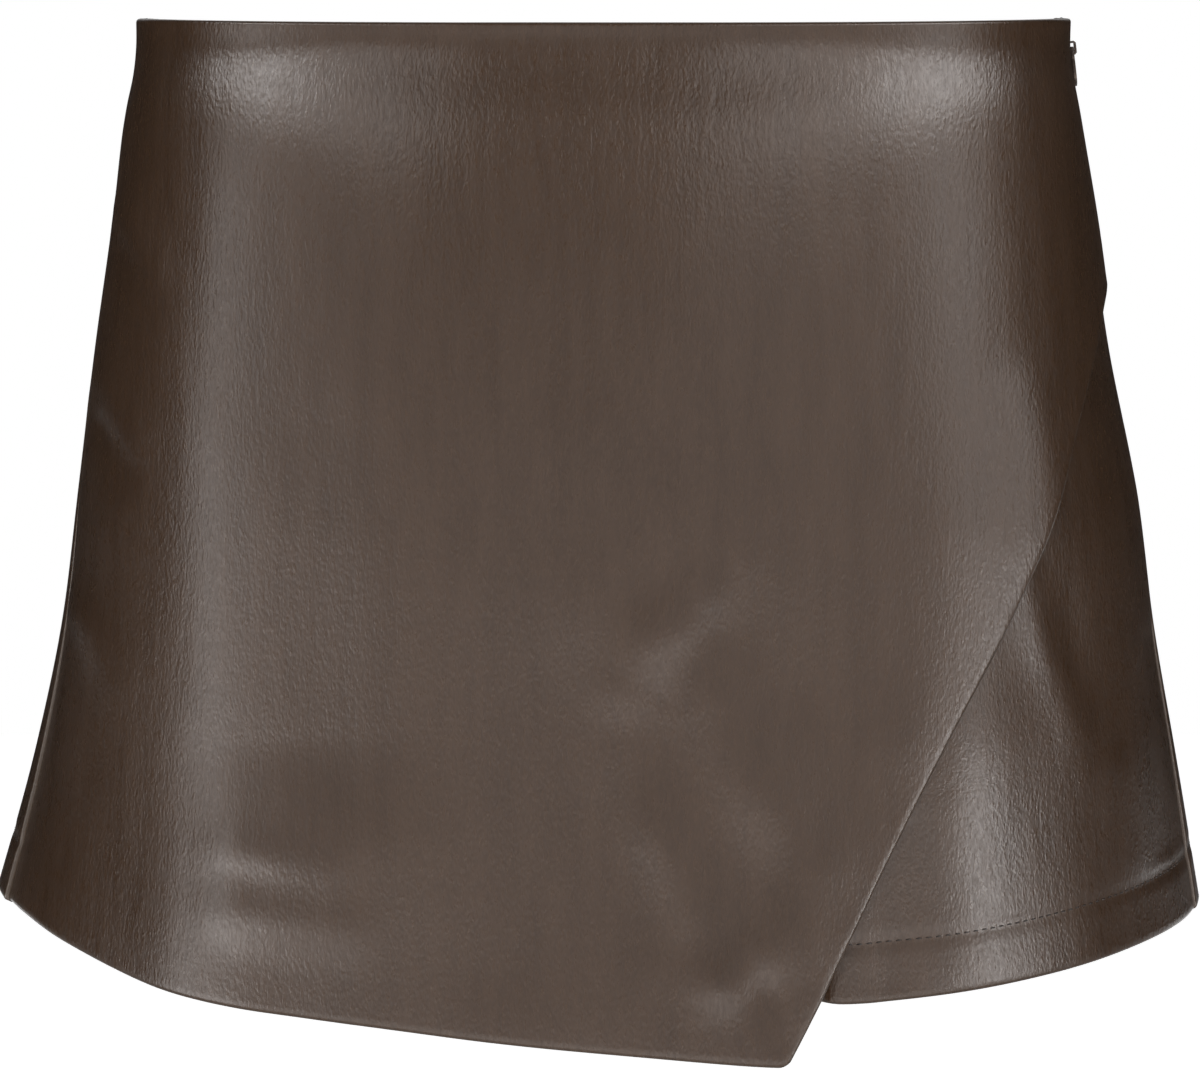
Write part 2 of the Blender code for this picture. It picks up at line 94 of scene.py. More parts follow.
def lengths_along(path):
    """The distance from the path's start to each of its points."""
    steps = np.linalg.norm(np.diff(path, axis=0), axis=1)
    return np.concatenate([[0.0], np.cumsum(steps)])


def at_distance(path, along, distance):
    """The places on a path at one or more distances, where along holds its points' own distances."""
    return np.stack([np.interp(distance, along, values) for values in path.T], axis=-1)


def to_line(x, drop, start, end):
    """Where on a straight line the nearest spot lies, from 0 to 1, and how far away it is."""
    span = np.subtract(end, start)
    share = np.clip(((x - start[0]) * span[0] + (drop - start[1]) * span[1]) / (span @ span), 0, 1)
    return share, np.hypot(x - start[0] - span[0] * share, drop - start[1] - span[1] * share)


def read_grid(table, row, column):
    """A regular table of points read at any row and column, straight between its points."""
    r = np.clip(np.floor(row).astype(int), 0, table.shape[0] - 2)
    c = np.clip(np.floor(column).astype(int), 0, table.shape[1] - 2)
    row_part, column_part = (row - r)[..., None], (column - c)[..., None]
    upper = table[r, c] * (1 - column_part) + table[r, c + 1] * column_part
    lower = table[r + 1, c] * (1 - column_part) + table[r + 1, c + 1] * column_part
    return upper * (1 - row_part) + lower * row_part


SQUARES = smooth_curve([0, 1, 2, 3], [0, 1, 4, 9])
print("a smooth curve through 0, 1, 4 and 9, read halfway between 1 and 4:", round(float(SQUARES(1.5)), 3))


# %% [markdown]
# ## The body's form
# Each row is a ring round the body at one drop: its half widths to the right and the left, its depths to
# the front and the back, how boxy it is, and how far forward the side seams lie. These are the solids' own
# sizes, so the cloth lies where they are.

# %% Rings of the body
CLOTH = 0.0012  # the room that one layer of cloth takes, in metres like all sizes here
SEAM_GAP = 0.0003
SIDE_DROP = 0.2748  # the hem's drop at the side seams
SAG = {"front": {"waist": 0.0012, "hem": 0.0106}, "back": {"waist": 0.0040, "hem": 0.0030}}
SAG_GROWTH = 1.5  # the power with which the sag grows from the waist's to the hem's
RIGHT_HEM_LIFT = 0.0050
RIGHT_HEM_X = 0.18
SEAT_BULGE = 0.0050
SEAT_X = 0.072
SEAT_DROP = 0.155
SEAT_WIDTH = 0.040
SEAT_HEIGHT = 0.060
RING_COLUMNS = ("drop", "right", "left", "front", "back", "square", "seam_right", "seam_left")
RINGS = [
    (0.000, 0.1422, 0.1430, 0.0962, 0.0940, 2.35, 0.026, 0.006),
    (0.012, 0.1424, 0.1426, 0.0971, 0.0963, 2.40, 0.026, 0.006),
    (0.030, 0.1457, 0.1454, 0.1035, 0.1033, 2.45, 0.025, 0.006),
    (0.060, 0.1496, 0.1508, 0.1104, 0.1152, 2.42, 0.025, 0.007),
    (0.100, 0.1557, 0.1571, 0.1163, 0.1274, 2.36, 0.026, 0.010),
    (0.145, 0.1618, 0.1667, 0.1197, 0.1349, 2.30, 0.029, 0.015),
    (0.190, 0.1682, 0.1733, 0.1214, 0.1365, 2.25, 0.032, 0.021),
    (0.230, 0.1772, 0.1808, 0.1235, 0.1341, 2.20, 0.034, 0.025),
    (0.285, 0.1928, 0.1907, 0.1270, 0.1326, 2.14, 0.037, 0.028),
]
RING_STEPS = 160
FORM = {
    name: smooth_curve([row[0] for row in RINGS], [row[i] for row in RINGS])
    for i, name in enumerate(RING_COLUMNS)
}


def half_ring(side, face, drop, steps=RING_STEPS):
    """The ring's path at a drop, as 2D points at +X from the side seam to the middle of the front or back."""
    width, square, seam = FORM[side](drop), FORM["square"](drop), FORM["seam_" + side](drop)
    start = -math.asin((seam / FORM["front"](drop)) ** (square / 2))
    angle = np.linspace(start, -math.pi / 2 if face == "front" else math.pi / 2, steps)
    depth = np.where(angle < 0, FORM["front"](drop), FORM["back"](drop))
    x = width * np.abs(np.cos(angle)) ** (2 / square)
    y = depth * np.sign(angle) * np.abs(np.sin(angle)) ** (2 / square)
    if face == "back":
        high = near_to(drop - SEAT_DROP, SEAT_HEIGHT)
        y = y + SEAT_BULGE * high * near_to(x - SEAT_X, SEAT_WIDTH) * np.maximum(0.0, np.sin(angle))
    return np.column_stack([x, y])


def hung(x, y, drop):
    """The places in space of points of the form: the cloth sags towards the middle of each face."""
    depth = np.where(y < 0, FORM["front"](drop), FORM["back"](drop))
    growth = np.maximum(0.0, drop / SIDE_DROP) ** SAG_GROWTH
    waist = np.where(y < 0, SAG["front"]["waist"], SAG["back"]["waist"])
    hem = np.where(y < 0, SAG["front"]["hem"], SAG["back"]["hem"])
    lift = RIGHT_HEM_LIFT * growth * (np.minimum(x, 0.0) / RIGHT_HEM_X) ** 2
    z = lift - drop - (waist + (hem - waist) * growth) * (y / depth) ** 2
    return np.stack([x, y, z], axis=-1)


print("rings:", len(RINGS), "from the waist to", RINGS[-1][0], "m below it")

# %% [markdown]
# Working out a ring again for every point of the cloth would be slow. So the front's rings are worked out
# once, a millimetre apart, and softened a little from one level to the next. A point is then read off this
# table.

# %% The front as a table of points
LEVEL_STEP = 0.001
LEVELS = np.arange(-0.030, 0.3205, LEVEL_STEP)
SHARES = np.linspace(0, 1, 501)
TABLE_RING_STEPS = 900
SOFT_LEVELS, SOFT_REACH = 12, 5.5


def front_table(side):
    """Ring points of one front half at every level and share of its length, softened from level to level."""
    points, widths = [], []
    for drop in LEVELS:
        path = half_ring(side, "front", float(drop), TABLE_RING_STEPS)
        along = lengths_along(path)
        widths.append(along[-1])
        points.append(at_distance(path, along, SHARES * along[-1]))
    points = np.array(points)
    offsets = np.arange(-SOFT_LEVELS, SOFT_LEVELS + 1)
    weights = near_to(offsets, SOFT_REACH)
    weights /= weights.sum()
    padded = np.concatenate([points[:1]] * SOFT_LEVELS + [points] + [points[-1:]] * SOFT_LEVELS)
    starts = SOFT_LEVELS + offsets
    soft = sum(weight * padded[first: first + len(points)] for first, weight in zip(starts, weights))
    return soft, np.array(widths)


FRONT_TABLE = {side: front_table(side) for side in ("right", "left")}
HALF_WIDTH = {side: smooth_curve(LEVELS, FRONT_TABLE[side][1]) for side in ("right", "left")}


def front_width(drop):
    """The front's length round from seam to seam at a drop."""
    return HALF_WIDTH["right"](drop) + HALF_WIDTH["left"](drop)


print("front from seam to seam: waist", round(float(front_width(0.0)), 4),
      "m, hem", round(float(front_width(SIDE_DROP)), 4), "m")

# %% [markdown]
# ## The wrap's pattern
# The wrap is cut as one flat piece. Its places are told by "around", 0 on the right side seam, 0.5 at the
# centre front and 1 on the left side seam, and by the drop. The free edge leaves the left seam below the
# hip and runs down to a point; the hem runs from there back to the right seam.

# %% The wrap's outline and how it stands off the shorts
FRONT_WIDTH = 0.43
WRAP_LEAVES = 0.0783
WRAP_EDGE = [
    (1.000, WRAP_LEAVES), (0.914, 0.0882), (0.871, 0.1051), (0.843, 0.1213), (0.8195, 0.1400),
    (0.777, 0.1715), (0.722, 0.2072), (0.664, 0.2481), (0.614, 0.2863),
]
WRAP_HEM = [
    (0.000, 0.2745), (0.045, 0.2746), (0.100, 0.2764), (0.180, 0.2784), (0.260, 0.2780),
    (0.340, 0.2785), (0.420, 0.2804), (0.520, 0.2828), (0.614, 0.2863),
]
WRAP_POINT = WRAP_EDGE[-1]
HEM_DROP = smooth_curve([around for around, _ in WRAP_HEM], [drop for _, drop in WRAP_HEM])
# Each air gap has its size, its reach from a seam and the drop at which it is full.
WRAP_NEAR_AIR, WRAP_NEAR_REACH, WRAP_NEAR_FULL = 0.0009, 0.009, 0.030
WRAP_AIR, WRAP_REACH, WRAP_FULL = 0.0022, 0.040, 0.160
WRAP_FREES = 0.020
WRAP_POINT_LIFT, WRAP_POINT_REACH = 0.0050, 0.070
SHARE_STEP = 0.004


def wrap_air(around, drop):
    """The gap between the shorts and the wrap: nothing at its seams, most at its free point."""
    from_right, from_left = around * FRONT_WIDTH, (1 - around) * FRONT_WIDTH
    held = 1 - ease(drop, WRAP_LEAVES, WRAP_LEAVES + WRAP_FREES)
    near = (1 - near_to(from_right, WRAP_NEAR_REACH)) * (1 - near_to(from_left, WRAP_NEAR_REACH) * held)
    wide = (1 - near_to(from_right, WRAP_REACH)) * (1 - near_to(from_left, WRAP_REACH) * held)
    air = WRAP_NEAR_AIR * ease(drop, 0.0, WRAP_NEAR_FULL) * near
    air = air + WRAP_AIR * ease(drop, 0.0, WRAP_FULL) * wide
    from_point = np.hypot((around - WRAP_POINT[0]) * FRONT_WIDTH, drop - WRAP_POINT[1])
    return SEAM_GAP + air + WRAP_POINT_LIFT * near_to(from_point, WRAP_POINT_REACH)


def on_front(around, drop, lift):
    """Points of the front's form, moved out by a lift."""
    around, drop = np.broadcast_arrays(np.asarray(around, float), np.asarray(drop, float))
    right = around <= 0.5
    share = np.where(right, 2 * around, 2 * (1 - around))

    def ring(at):
        level, column = (drop - LEVELS[0]) / LEVEL_STEP, at * (len(SHARES) - 1)
        both = [read_grid(FRONT_TABLE[side][0], level, column) for side in ("right", "left")]
        return np.where(right[..., None], both[0], both[1])

    along = ring(share + SHARE_STEP) - ring(share - SHARE_STEP)
    along /= np.linalg.norm(along, axis=-1, keepdims=True)
    outwards = np.stack([-along[..., 1], along[..., 0]], axis=-1)
    point = ring(share)
    facing = np.sign((outwards * point).sum(-1, keepdims=True))
    point = point + outwards * facing * lift[..., None]
    x = np.where(right, -point[..., 0], point[..., 0])
    return hung(x, point[..., 1], drop)


print("the free edge runs from", WRAP_LEAVES, "to", WRAP_POINT[1], "m below the waist")

# %% [markdown]
# ## Folds and creases
# On the real skort the light shows long soft swells, small puckers where a seam draws the cloth up, and a
# band at the waist that is held tight. Each row of a table is one swell or hollow. It is a line of points,
# and each point has its sideways place, its drop, the reach to each side and the height, in millimetres.
# Placing them one by one keeps them as uneven as on the cloth.


# %% Relief helpers
def relief(ridges, x, drop):
    """The sum of soft swells and hollows at places x, drop. A ridge runs along its line of points."""
    total = np.zeros(np.shape(x))
    for ridge in ridges:
        line = np.array(ridge, float) / 1000
        nearest, reach, height = np.full(np.shape(x), np.inf), np.ones(np.shape(x)), np.zeros(np.shape(x))
        for start, end in zip(line[:-1], line[1:]):
            share, away = to_line(x, drop, start[:2], end[:2])
            closer = away < nearest
            share = ease(share, 0, 1)
            nearest = np.where(closer, away, nearest)
            reach = np.where(closer, start[2] + (end[2] - start[2]) * share, reach)
            height = np.where(closer, start[3] + (end[3] - start[3]) * share, height)
        total += height * near_to(nearest, reach)
    return total


ONE_SWELL = [[(-20, 0, 10, 2.0), (20, 0, 10, 2.0)]]
BESIDE_IT = float(relief(ONE_SWELL, 0.0, 0.010)) * 1000
print("a swell 2 mm high with a reach of 10 mm is", round(BESIDE_IT, 2), "mm high 10 mm from its line")

# %% [markdown]
# ## One sheet, turned in at its edges
# A cloth edge is never a cut line: it is folded over and stitched inside, so it shows as a soft round
# edge. The sheet's grid therefore goes on past each edge, round a fold with a radius of a little over a
# millimetre, and back up inside. `bmesh.ops.create_grid` makes the grid, its points are laid in place all
# at once, and a Solidify modifier thickens it inwards, with a plain knit on the inside.

# %% Sheet helpers
HEM_TURN = 0.019  # how far the hem is turned up inside
SHEET = 0.0009  # the wall of one sheet
FOLD = 0.0012  # the radius of a turned edge
SEAM_FOLD = 0.0011  # the radius of an edge that bends into a seam
SEAM_DEPTH = 0.0006  # how deep the allowance stands in the seam
MITRE = 0.0014  # what a fold gives way where two of them meet
EDGE_ZONE = (0.0100, 0.0078, 0.0058, 0.0041, 0.0027)  # the grid's lines beside an edge
ZONE = EDGE_ZONE[0]
FOLD_STEPS = 6
TURN_STEPS = 4
CORNER_LINES = FOLD_STEPS + TURN_STEPS
CORNER_WALL = 0.2  # the share of the wall at a corner, where layers lie on each other
# The next two set where the outer sides of folds are painted paler: partly wear of the coating, partly a
# painted highlight where the rounded fold catches the light.
SHEEN_AND_WEAR_REACH = 0.0008
SHEEN_AND_WEAR_DEPTH = 0.0018


def fold_profile(radius, bend):
    """(distance in from the edge, depth) along a sheet's edge zone and a round fold that turns by a bend."""
    steps = [(distance, 0.0) for distance in EDGE_ZONE]
    for i in range(FOLD_STEPS + 1):
        angle = bend * i / FOLD_STEPS
        steps.append((radius * (1 - math.sin(angle)), radius * (1 - math.cos(angle))))
    return steps


def edge_profile(turned):
    """The profile of a turned edge: a full fold, and behind it the cloth that is turned under."""
    turn = [(FOLD + (turned - FOLD) * i / TURN_STEPS, 2 * FOLD) for i in range(1, TURN_STEPS + 1)]
    return np.array(fold_profile(FOLD, math.pi) + turn)


def seam_profile():
    """The profile of a sewn edge: it bends inwards, and its allowance stands in the seam."""
    allowance = [(0.0, SEAM_FOLD + SEAM_DEPTH * i / TURN_STEPS) for i in range(1, TURN_STEPS + 1)]
    return np.array(fold_profile(SEAM_FOLD, math.pi / 2) + allowance)


def sheen_and_wear_share(from_edge, depth):
    """How much the coating is painted paler on a fold, as wear and as a painted highlight: 1 right on a
    fold's outer side and 0 away from it.
    """
    return near_to(from_edge, SHEEN_AND_WEAR_REACH) * (depth < SHEEN_AND_WEAR_DEPTH)


def edge_lines(inner):
    """Lines of a grid from one edge to the other: (side, step along the edge's profile, share between)."""
    count = len(EDGE_ZONE) + FOLD_STEPS + 1 + TURN_STEPS
    lines = [(-1, i, 0.0) for i in reversed(range(count))]
    lines += [(0, 0, i / inner) for i in range(1, inner)]
    lines += [(1, i, 1.0) for i in range(count)]
    return lines


def placed(name, data):
    """A new object for a mesh, a lamp or the camera, linked to the scene."""
    made = bpy.data.objects.new(name, data)
    bpy.context.scene.collection.objects.link(made)
    return made


def grid_mesh(name, places, uv, edge):
    """A grid whose points lie at the places, with its flat measure and the painted highlight and wear of its
    edges on it.
    """
    rows, columns = places.shape[:2]
    bm = bmesh.new()
    bmesh.ops.create_grid(bm, x_segments=columns - 1, y_segments=rows - 1, size=0.5)
    cells = np.array([((v.co.y + 0.5) * (rows - 1), (v.co.x + 0.5) * (columns - 1)) for v in bm.verts])
    cells = cells.round().astype(int)
    row, column = cells[:, 0], cells[:, 1]
    mesh = bpy.data.meshes.new(name)
    bm.to_mesh(mesh)
    bm.free()
    mesh.vertices.foreach_set("co", places[row, column].astype(np.float32).ravel())
    corners = np.zeros(len(mesh.loops), int)
    mesh.loops.foreach_get("vertex_index", corners)
    layer = mesh.uv_layers.new(name="cloth")
    layer.data.foreach_set("uv", uv[row, column][corners].astype(np.float32).ravel())
    # This attribute carries the painted highlight and wear on the folds' outer sides.
    edge_sheen_and_wear = mesh.attributes.new("edge", "FLOAT", "POINT")
    edge_sheen_and_wear.data.foreach_set("value", edge[row, column].astype(np.float32))
    mesh.update()
    return mesh, cells


def face_outwards(mesh, middle):
    """Turn the mesh's faces so that they point away from the body, and measure them."""
    bm = bmesh.new()
    bm.from_mesh(mesh)
    bm.normal_update()
    closest = min(bm.verts, key=lambda vert: (vert.co - middle).length)
    if closest.normal.xy.dot(closest.co.xy) < 0:
        bmesh.ops.reverse_faces(bm, faces=bm.faces)
    area = sum(face.calc_area() for face in bm.faces)
    bm.to_mesh(mesh)
    bm.free()
    mesh.shade_smooth()
    return area


def make_sheet(name, places, uv, edge, finishes, node):
    """A cloth piece from a grid of places: uv in metres, and how near each point is to a folded edge."""
    mesh, cells = grid_mesh(name, places, uv, edge)
    rows, columns = places.shape[:2]
    area = face_outwards(mesh, Vector(places[rows // 2, columns // 2]))
    piece = placed(name, mesh)
    for finish in finishes:
        mesh.materials.append(finish)
    from_edge = np.minimum(cells, np.array([rows - 1, columns - 1]) - cells)
    corner = (from_edge[:, 0] < CORNER_LINES) & (from_edge[:, 1] < CORNER_LINES)
    full = piece.vertex_groups.new(name="full thickness")
    full.add(np.flatnonzero(~corner).tolist(), 1.0, "REPLACE")
    wall = piece.modifiers.new("cloth wall", "SOLIDIFY")
    wall.vertex_group = full.name
    wall.thickness_vertex_group = CORNER_WALL
    wall.thickness = SHEET
    wall.offset = -1
    wall.material_offset = 1
    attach(piece, "skort")
    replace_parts(piece, node)
    print(name, len(mesh.polygons), "faces,", round(area, 4), "m2 of cloth")
    return piece, area


def normals_of(surface, p, q, step_p, step_q):
    """Outward normals of a surface, from places a short step apart."""
    across = surface(p + step_p, q) - surface(p - step_p, q)
    down = surface(p, q + step_q) - surface(p, q - step_q)
    normal = np.cross(across, down)
    normal /= np.linalg.norm(normal, axis=-1, keepdims=True)
    middle = surface(p, q)
    facing = np.sign((normal[..., :2] * middle[..., :2]).sum(-1)).sum()
    return middle, normal * (1 if facing > 0 else -1)


print("a turned hem, in mm from its edge:", (edge_profile(HEM_TURN)[:, 0] * 1000).round(1).tolist())

# %% [markdown]
# ## Finishes
# The cloth is a knit with a thin coat of dark brown polyurethane. Its grain is fine crepe: short upright
# streaks under a millimetre wide with a pebble between them. One shader group makes that grain from the
# cloth's own flat measure, so the front, the legs and the back all carry it at the same size.


# %% Shader helpers
def new_group(name, inputs, outputs):
    """An empty shader group with named inputs and outputs."""
    group = bpy.data.node_groups.new(name, "ShaderNodeTree")
    for label, kind, value in inputs:
        made = group.interface.new_socket(name=label, in_out="INPUT", socket_type=kind)
        if value is not None:
            made.default_value = value
    for label, kind in outputs:
        group.interface.new_socket(name=label, in_out="OUTPUT", socket_type=kind)
    return group, group.nodes.new("NodeGroupInput"), group.nodes.new("NodeGroupOutput")


def add(tree, kind, **settings):
    """A node with its settings; keys that are input names set that input."""
    node = tree.nodes.new(kind)
    for key, value in settings.items():
        if hasattr(node, key) and key not in node.inputs:
            setattr(node, key, value)
        else:
            node.inputs[key].default_value = value
    return node


def math_node(tree, operation, *values, clamp=False):
    """A sum of sockets and plain numbers; MULTIPLY_ADD takes three of them, most others two."""
    node = tree.nodes.new("ShaderNodeMath")
    node.operation = operation
    node.use_clamp = clamp
    for socket, value in zip(node.inputs, values):
        if hasattr(value, "links"):
            tree.links.new(value, socket)
        else:
            socket.default_value = value
    return node.outputs[0]


def stretched(tree, cloth, cells):
    """The cloth's flat measure counted in cells, so many for each metre across and down."""
    node = add(tree, "ShaderNodeMapping")
    node.inputs["Scale"].default_value = (*cells, 1)
    tree.links.new(cloth, node.inputs["Vector"])
    return node.outputs["Vector"]


def noise(tree, cloth, cells, detail, roughness=0.5, distortion=0.0):
    """Soft noise with so many cells for each metre of cloth, across and down."""
    node = add(tree, "ShaderNodeTexNoise", Scale=1.0, Detail=detail, Roughness=roughness)
    node.inputs["Distortion"].default_value = distortion
    tree.links.new(stretched(tree, cloth, cells), node.inputs["Vector"])
    return node.outputs["Fac"]


# %% Grain group
def crepe_grain():
    """Height, streaks and cloudiness of the coating, from flat cloth measure in metres."""
    tree, given, result = new_group(
        "crepe grain",
        [("Cloth", "NodeSocketVector", None), ("Size", "NodeSocketFloat", 1.0)],
        [("Height", "NodeSocketFloat"), ("Streaks", "NodeSocketFloat"), ("Clouds", "NodeSocketFloat")],
    )
    sized = add(tree, "ShaderNodeVectorMath", operation="SCALE")
    tree.links.new(given.outputs["Cloth"], sized.inputs[0])
    tree.links.new(given.outputs["Size"], sized.inputs["Scale"])
    cloth = sized.outputs["Vector"]
    streaks = noise(tree, cloth, (860, 250), 2.5, 0.55, 0.4)
    fine = noise(tree, cloth, (1900, 800), 1.5, 0.5, 0.2)
    marks = noise(tree, cloth, (150, 26), 2.5, 0.55, 0.3)
    clouds = noise(tree, cloth, (24, 12), 3.0, 0.55, 0.4)
    pebble = add(tree, "ShaderNodeTexVoronoi", feature="SMOOTH_F1", Scale=1.0, Smoothness=0.5)
    tree.links.new(stretched(tree, cloth, (1050, 640)), pebble.inputs["Vector"])
    height = math_node(tree, "MULTIPLY", streaks, 0.45)
    for part, share in ((fine, 0.36), (marks, 0.8), (pebble.outputs["Distance"], -0.34)):
        height = math_node(tree, "MULTIPLY_ADD", part, share, height)
    tree.links.new(height, result.inputs["Height"])
    sharp = math_node(tree, "MULTIPLY_ADD", streaks, 2.8, -0.9, clamp=True)
    tree.links.new(sharp, result.inputs["Streaks"])
    cloudy = math_node(tree, "MULTIPLY_ADD", math_node(tree, "ADD", clouds, marks), 1.3, -0.8, clamp=True)
    tree.links.new(cloudy, result.inputs["Clouds"])
    return tree


CREPE = crepe_grain()
print("crepe grain:", len(CREPE.nodes), "nodes")

# %% [markdown]
# The coating itself is a Principled shader: a dark red-brown, slightly blotchy, a half-gloss that varies a
# little with the streaks, and a bump from the grain. Where the cloth is folded over an edge the coating is
# painted a touch paler, partly as wear and partly as a painted highlight of the light that the rounded fold
# catches; an attribute on the sheet's own points says where.


# %% Coated cloth and its knit back
COAT_ROUGHNESS = 0.27
GRAIN_HEIGHT = 0.00016
# How far the folds' outer sides go toward the paler colour: coating wear and a painted highlight along the
# fold.
EDGE_SHEEN_AND_WEAR = 0.45


def new_material(name):
    """A material with its node tree and its Principled shader."""
    made = bpy.data.materials.new(name)
    made.use_nodes = True
    return made, made.node_tree, made.node_tree.nodes["Principled BSDF"]


def mixed(tree, factor, first, second):
    """Two colours, each a socket or three numbers, mixed by a factor socket."""
    node = add(tree, "ShaderNodeMix", data_type="RGBA", clamp_factor=True)
    tree.links.new(factor, node.inputs[0])
    for socket, value in ((node.inputs[6], first), (node.inputs[7], second)):
        if hasattr(value, "links"):
            tree.links.new(value, socket)
        else:
            socket.default_value = (*value, 1.0)
    return node.outputs[2]


def bumped(tree, shader, height, strength, distance):
    """Let a height socket bump the shader's surface."""
    node = add(tree, "ShaderNodeBump", Strength=strength, Distance=distance)
    tree.links.new(height, node.inputs["Height"])
    tree.links.new(node.outputs["Normal"], shader.inputs["Normal"])


def coating(name, deep, bright, edge_sheen_and_wear):
    """Coated cloth: deep and bright are its colours in the grain's hollows and on its ridges."""
    made, tree, shader = new_material(name)
    flat = add(tree, "ShaderNodeUVMap", uv_map="cloth")
    grain = add(tree, "ShaderNodeGroup", node_tree=CREPE)
    tree.links.new(flat.outputs["UV"], grain.inputs["Cloth"])
    streaks, clouds = grain.outputs["Streaks"], grain.outputs["Clouds"]
    edge = add(tree, "ShaderNodeAttribute", attribute_name="edge")
    tone = math_node(tree, "MULTIPLY_ADD", clouds, 0.4, math_node(tree, "MULTIPLY", streaks, 0.6), clamp=True)
    # The folds' outer sides are mixed toward a paler tan: wear, and a painted highlight of the light the
    # rounded fold catches.
    paler_share = math_node(tree, "MULTIPLY", edge.outputs["Fac"], EDGE_SHEEN_AND_WEAR)
    colour = mixed(tree, paler_share, mixed(tree, tone, deep, bright), edge_sheen_and_wear)
    tree.links.new(colour, shader.inputs["Base Color"])
    gloss = math_node(tree, "MULTIPLY_ADD", streaks, -0.10, COAT_ROUGHNESS + 0.05)
    tree.links.new(math_node(tree, "MULTIPLY_ADD", clouds, 0.06, gloss), shader.inputs["Roughness"])
    bumped(tree, shader, grain.outputs["Height"], 1.0, GRAIN_HEIGHT)
    return made


def ribs(tree, cloth, direction, scale, distortion):
    """Straight ribs on the cloth's flat measure."""
    node = add(tree, "ShaderNodeTexWave", bands_direction=direction, Scale=scale, Distortion=distortion)
    tree.links.new(cloth, node.inputs["Vector"])
    return node


def knit(name, dark, pale):
    """The back of the cloth: a fine brushed knit, dull and soft."""
    made, tree, shader = new_material(name)
    cloth = add(tree, "ShaderNodeUVMap", uv_map="cloth").outputs["UV"]
    wales, courses = ribs(tree, cloth, "X", 330.0, 1.2), ribs(tree, cloth, "Y", 420.0, 0.8)
    wales.inputs["Detail"].default_value = 1.0
    wales.inputs["Detail Scale"].default_value = 2.0
    loops = math_node(tree, "MULTIPLY", wales.outputs["Fac"], courses.outputs["Fac"])
    height = math_node(tree, "MULTIPLY_ADD", noise(tree, cloth, (900, 900), 3.0, 0.6), 0.8, loops)
    tone = math_node(tree, "MULTIPLY", height, 0.6, clamp=True)
    tree.links.new(mixed(tree, tone, dark, pale), shader.inputs["Base Color"])
    shader.inputs["Roughness"].default_value = 0.92
    shader.inputs["Sheen Weight"].default_value = 0.12
    shader.inputs["Sheen Roughness"].default_value = 0.5
    bumped(tree, shader, height, 0.7, 0.0002)
    return made


# The third colour of each coating is the paler tan of its folded edges: wear, and a painted highlight.
WRAP_COAT = coating("wrap_coating", (0.0505, 0.0255, 0.0127), (0.088, 0.0475, 0.026), (0.12, 0.085, 0.060))
SHORTS_COAT = coating("shorts_coating", (0.0475, 0.0245, 0.0122), (0.085, 0.0455, 0.025), (0.11, 0.08, 0.056))
KNIT_BACK = knit("knit_back", (0.020, 0.013, 0.010), (0.055, 0.038, 0.029))
print("finishes of the cloth:", WRAP_COAT.name, SHORTS_COAT.name, KNIT_BACK.name)

# %% [markdown]
# ## The wrap panel
# The wrap lies flat over the shorts from the right side seam to the left, smooth over the belly and the
# hips, with its free edge turned in and pressed. It is sewn in at the waist and at both seams, where its
# cut edge only bends inwards; the free edge and the hem are turned under by two centimetres.

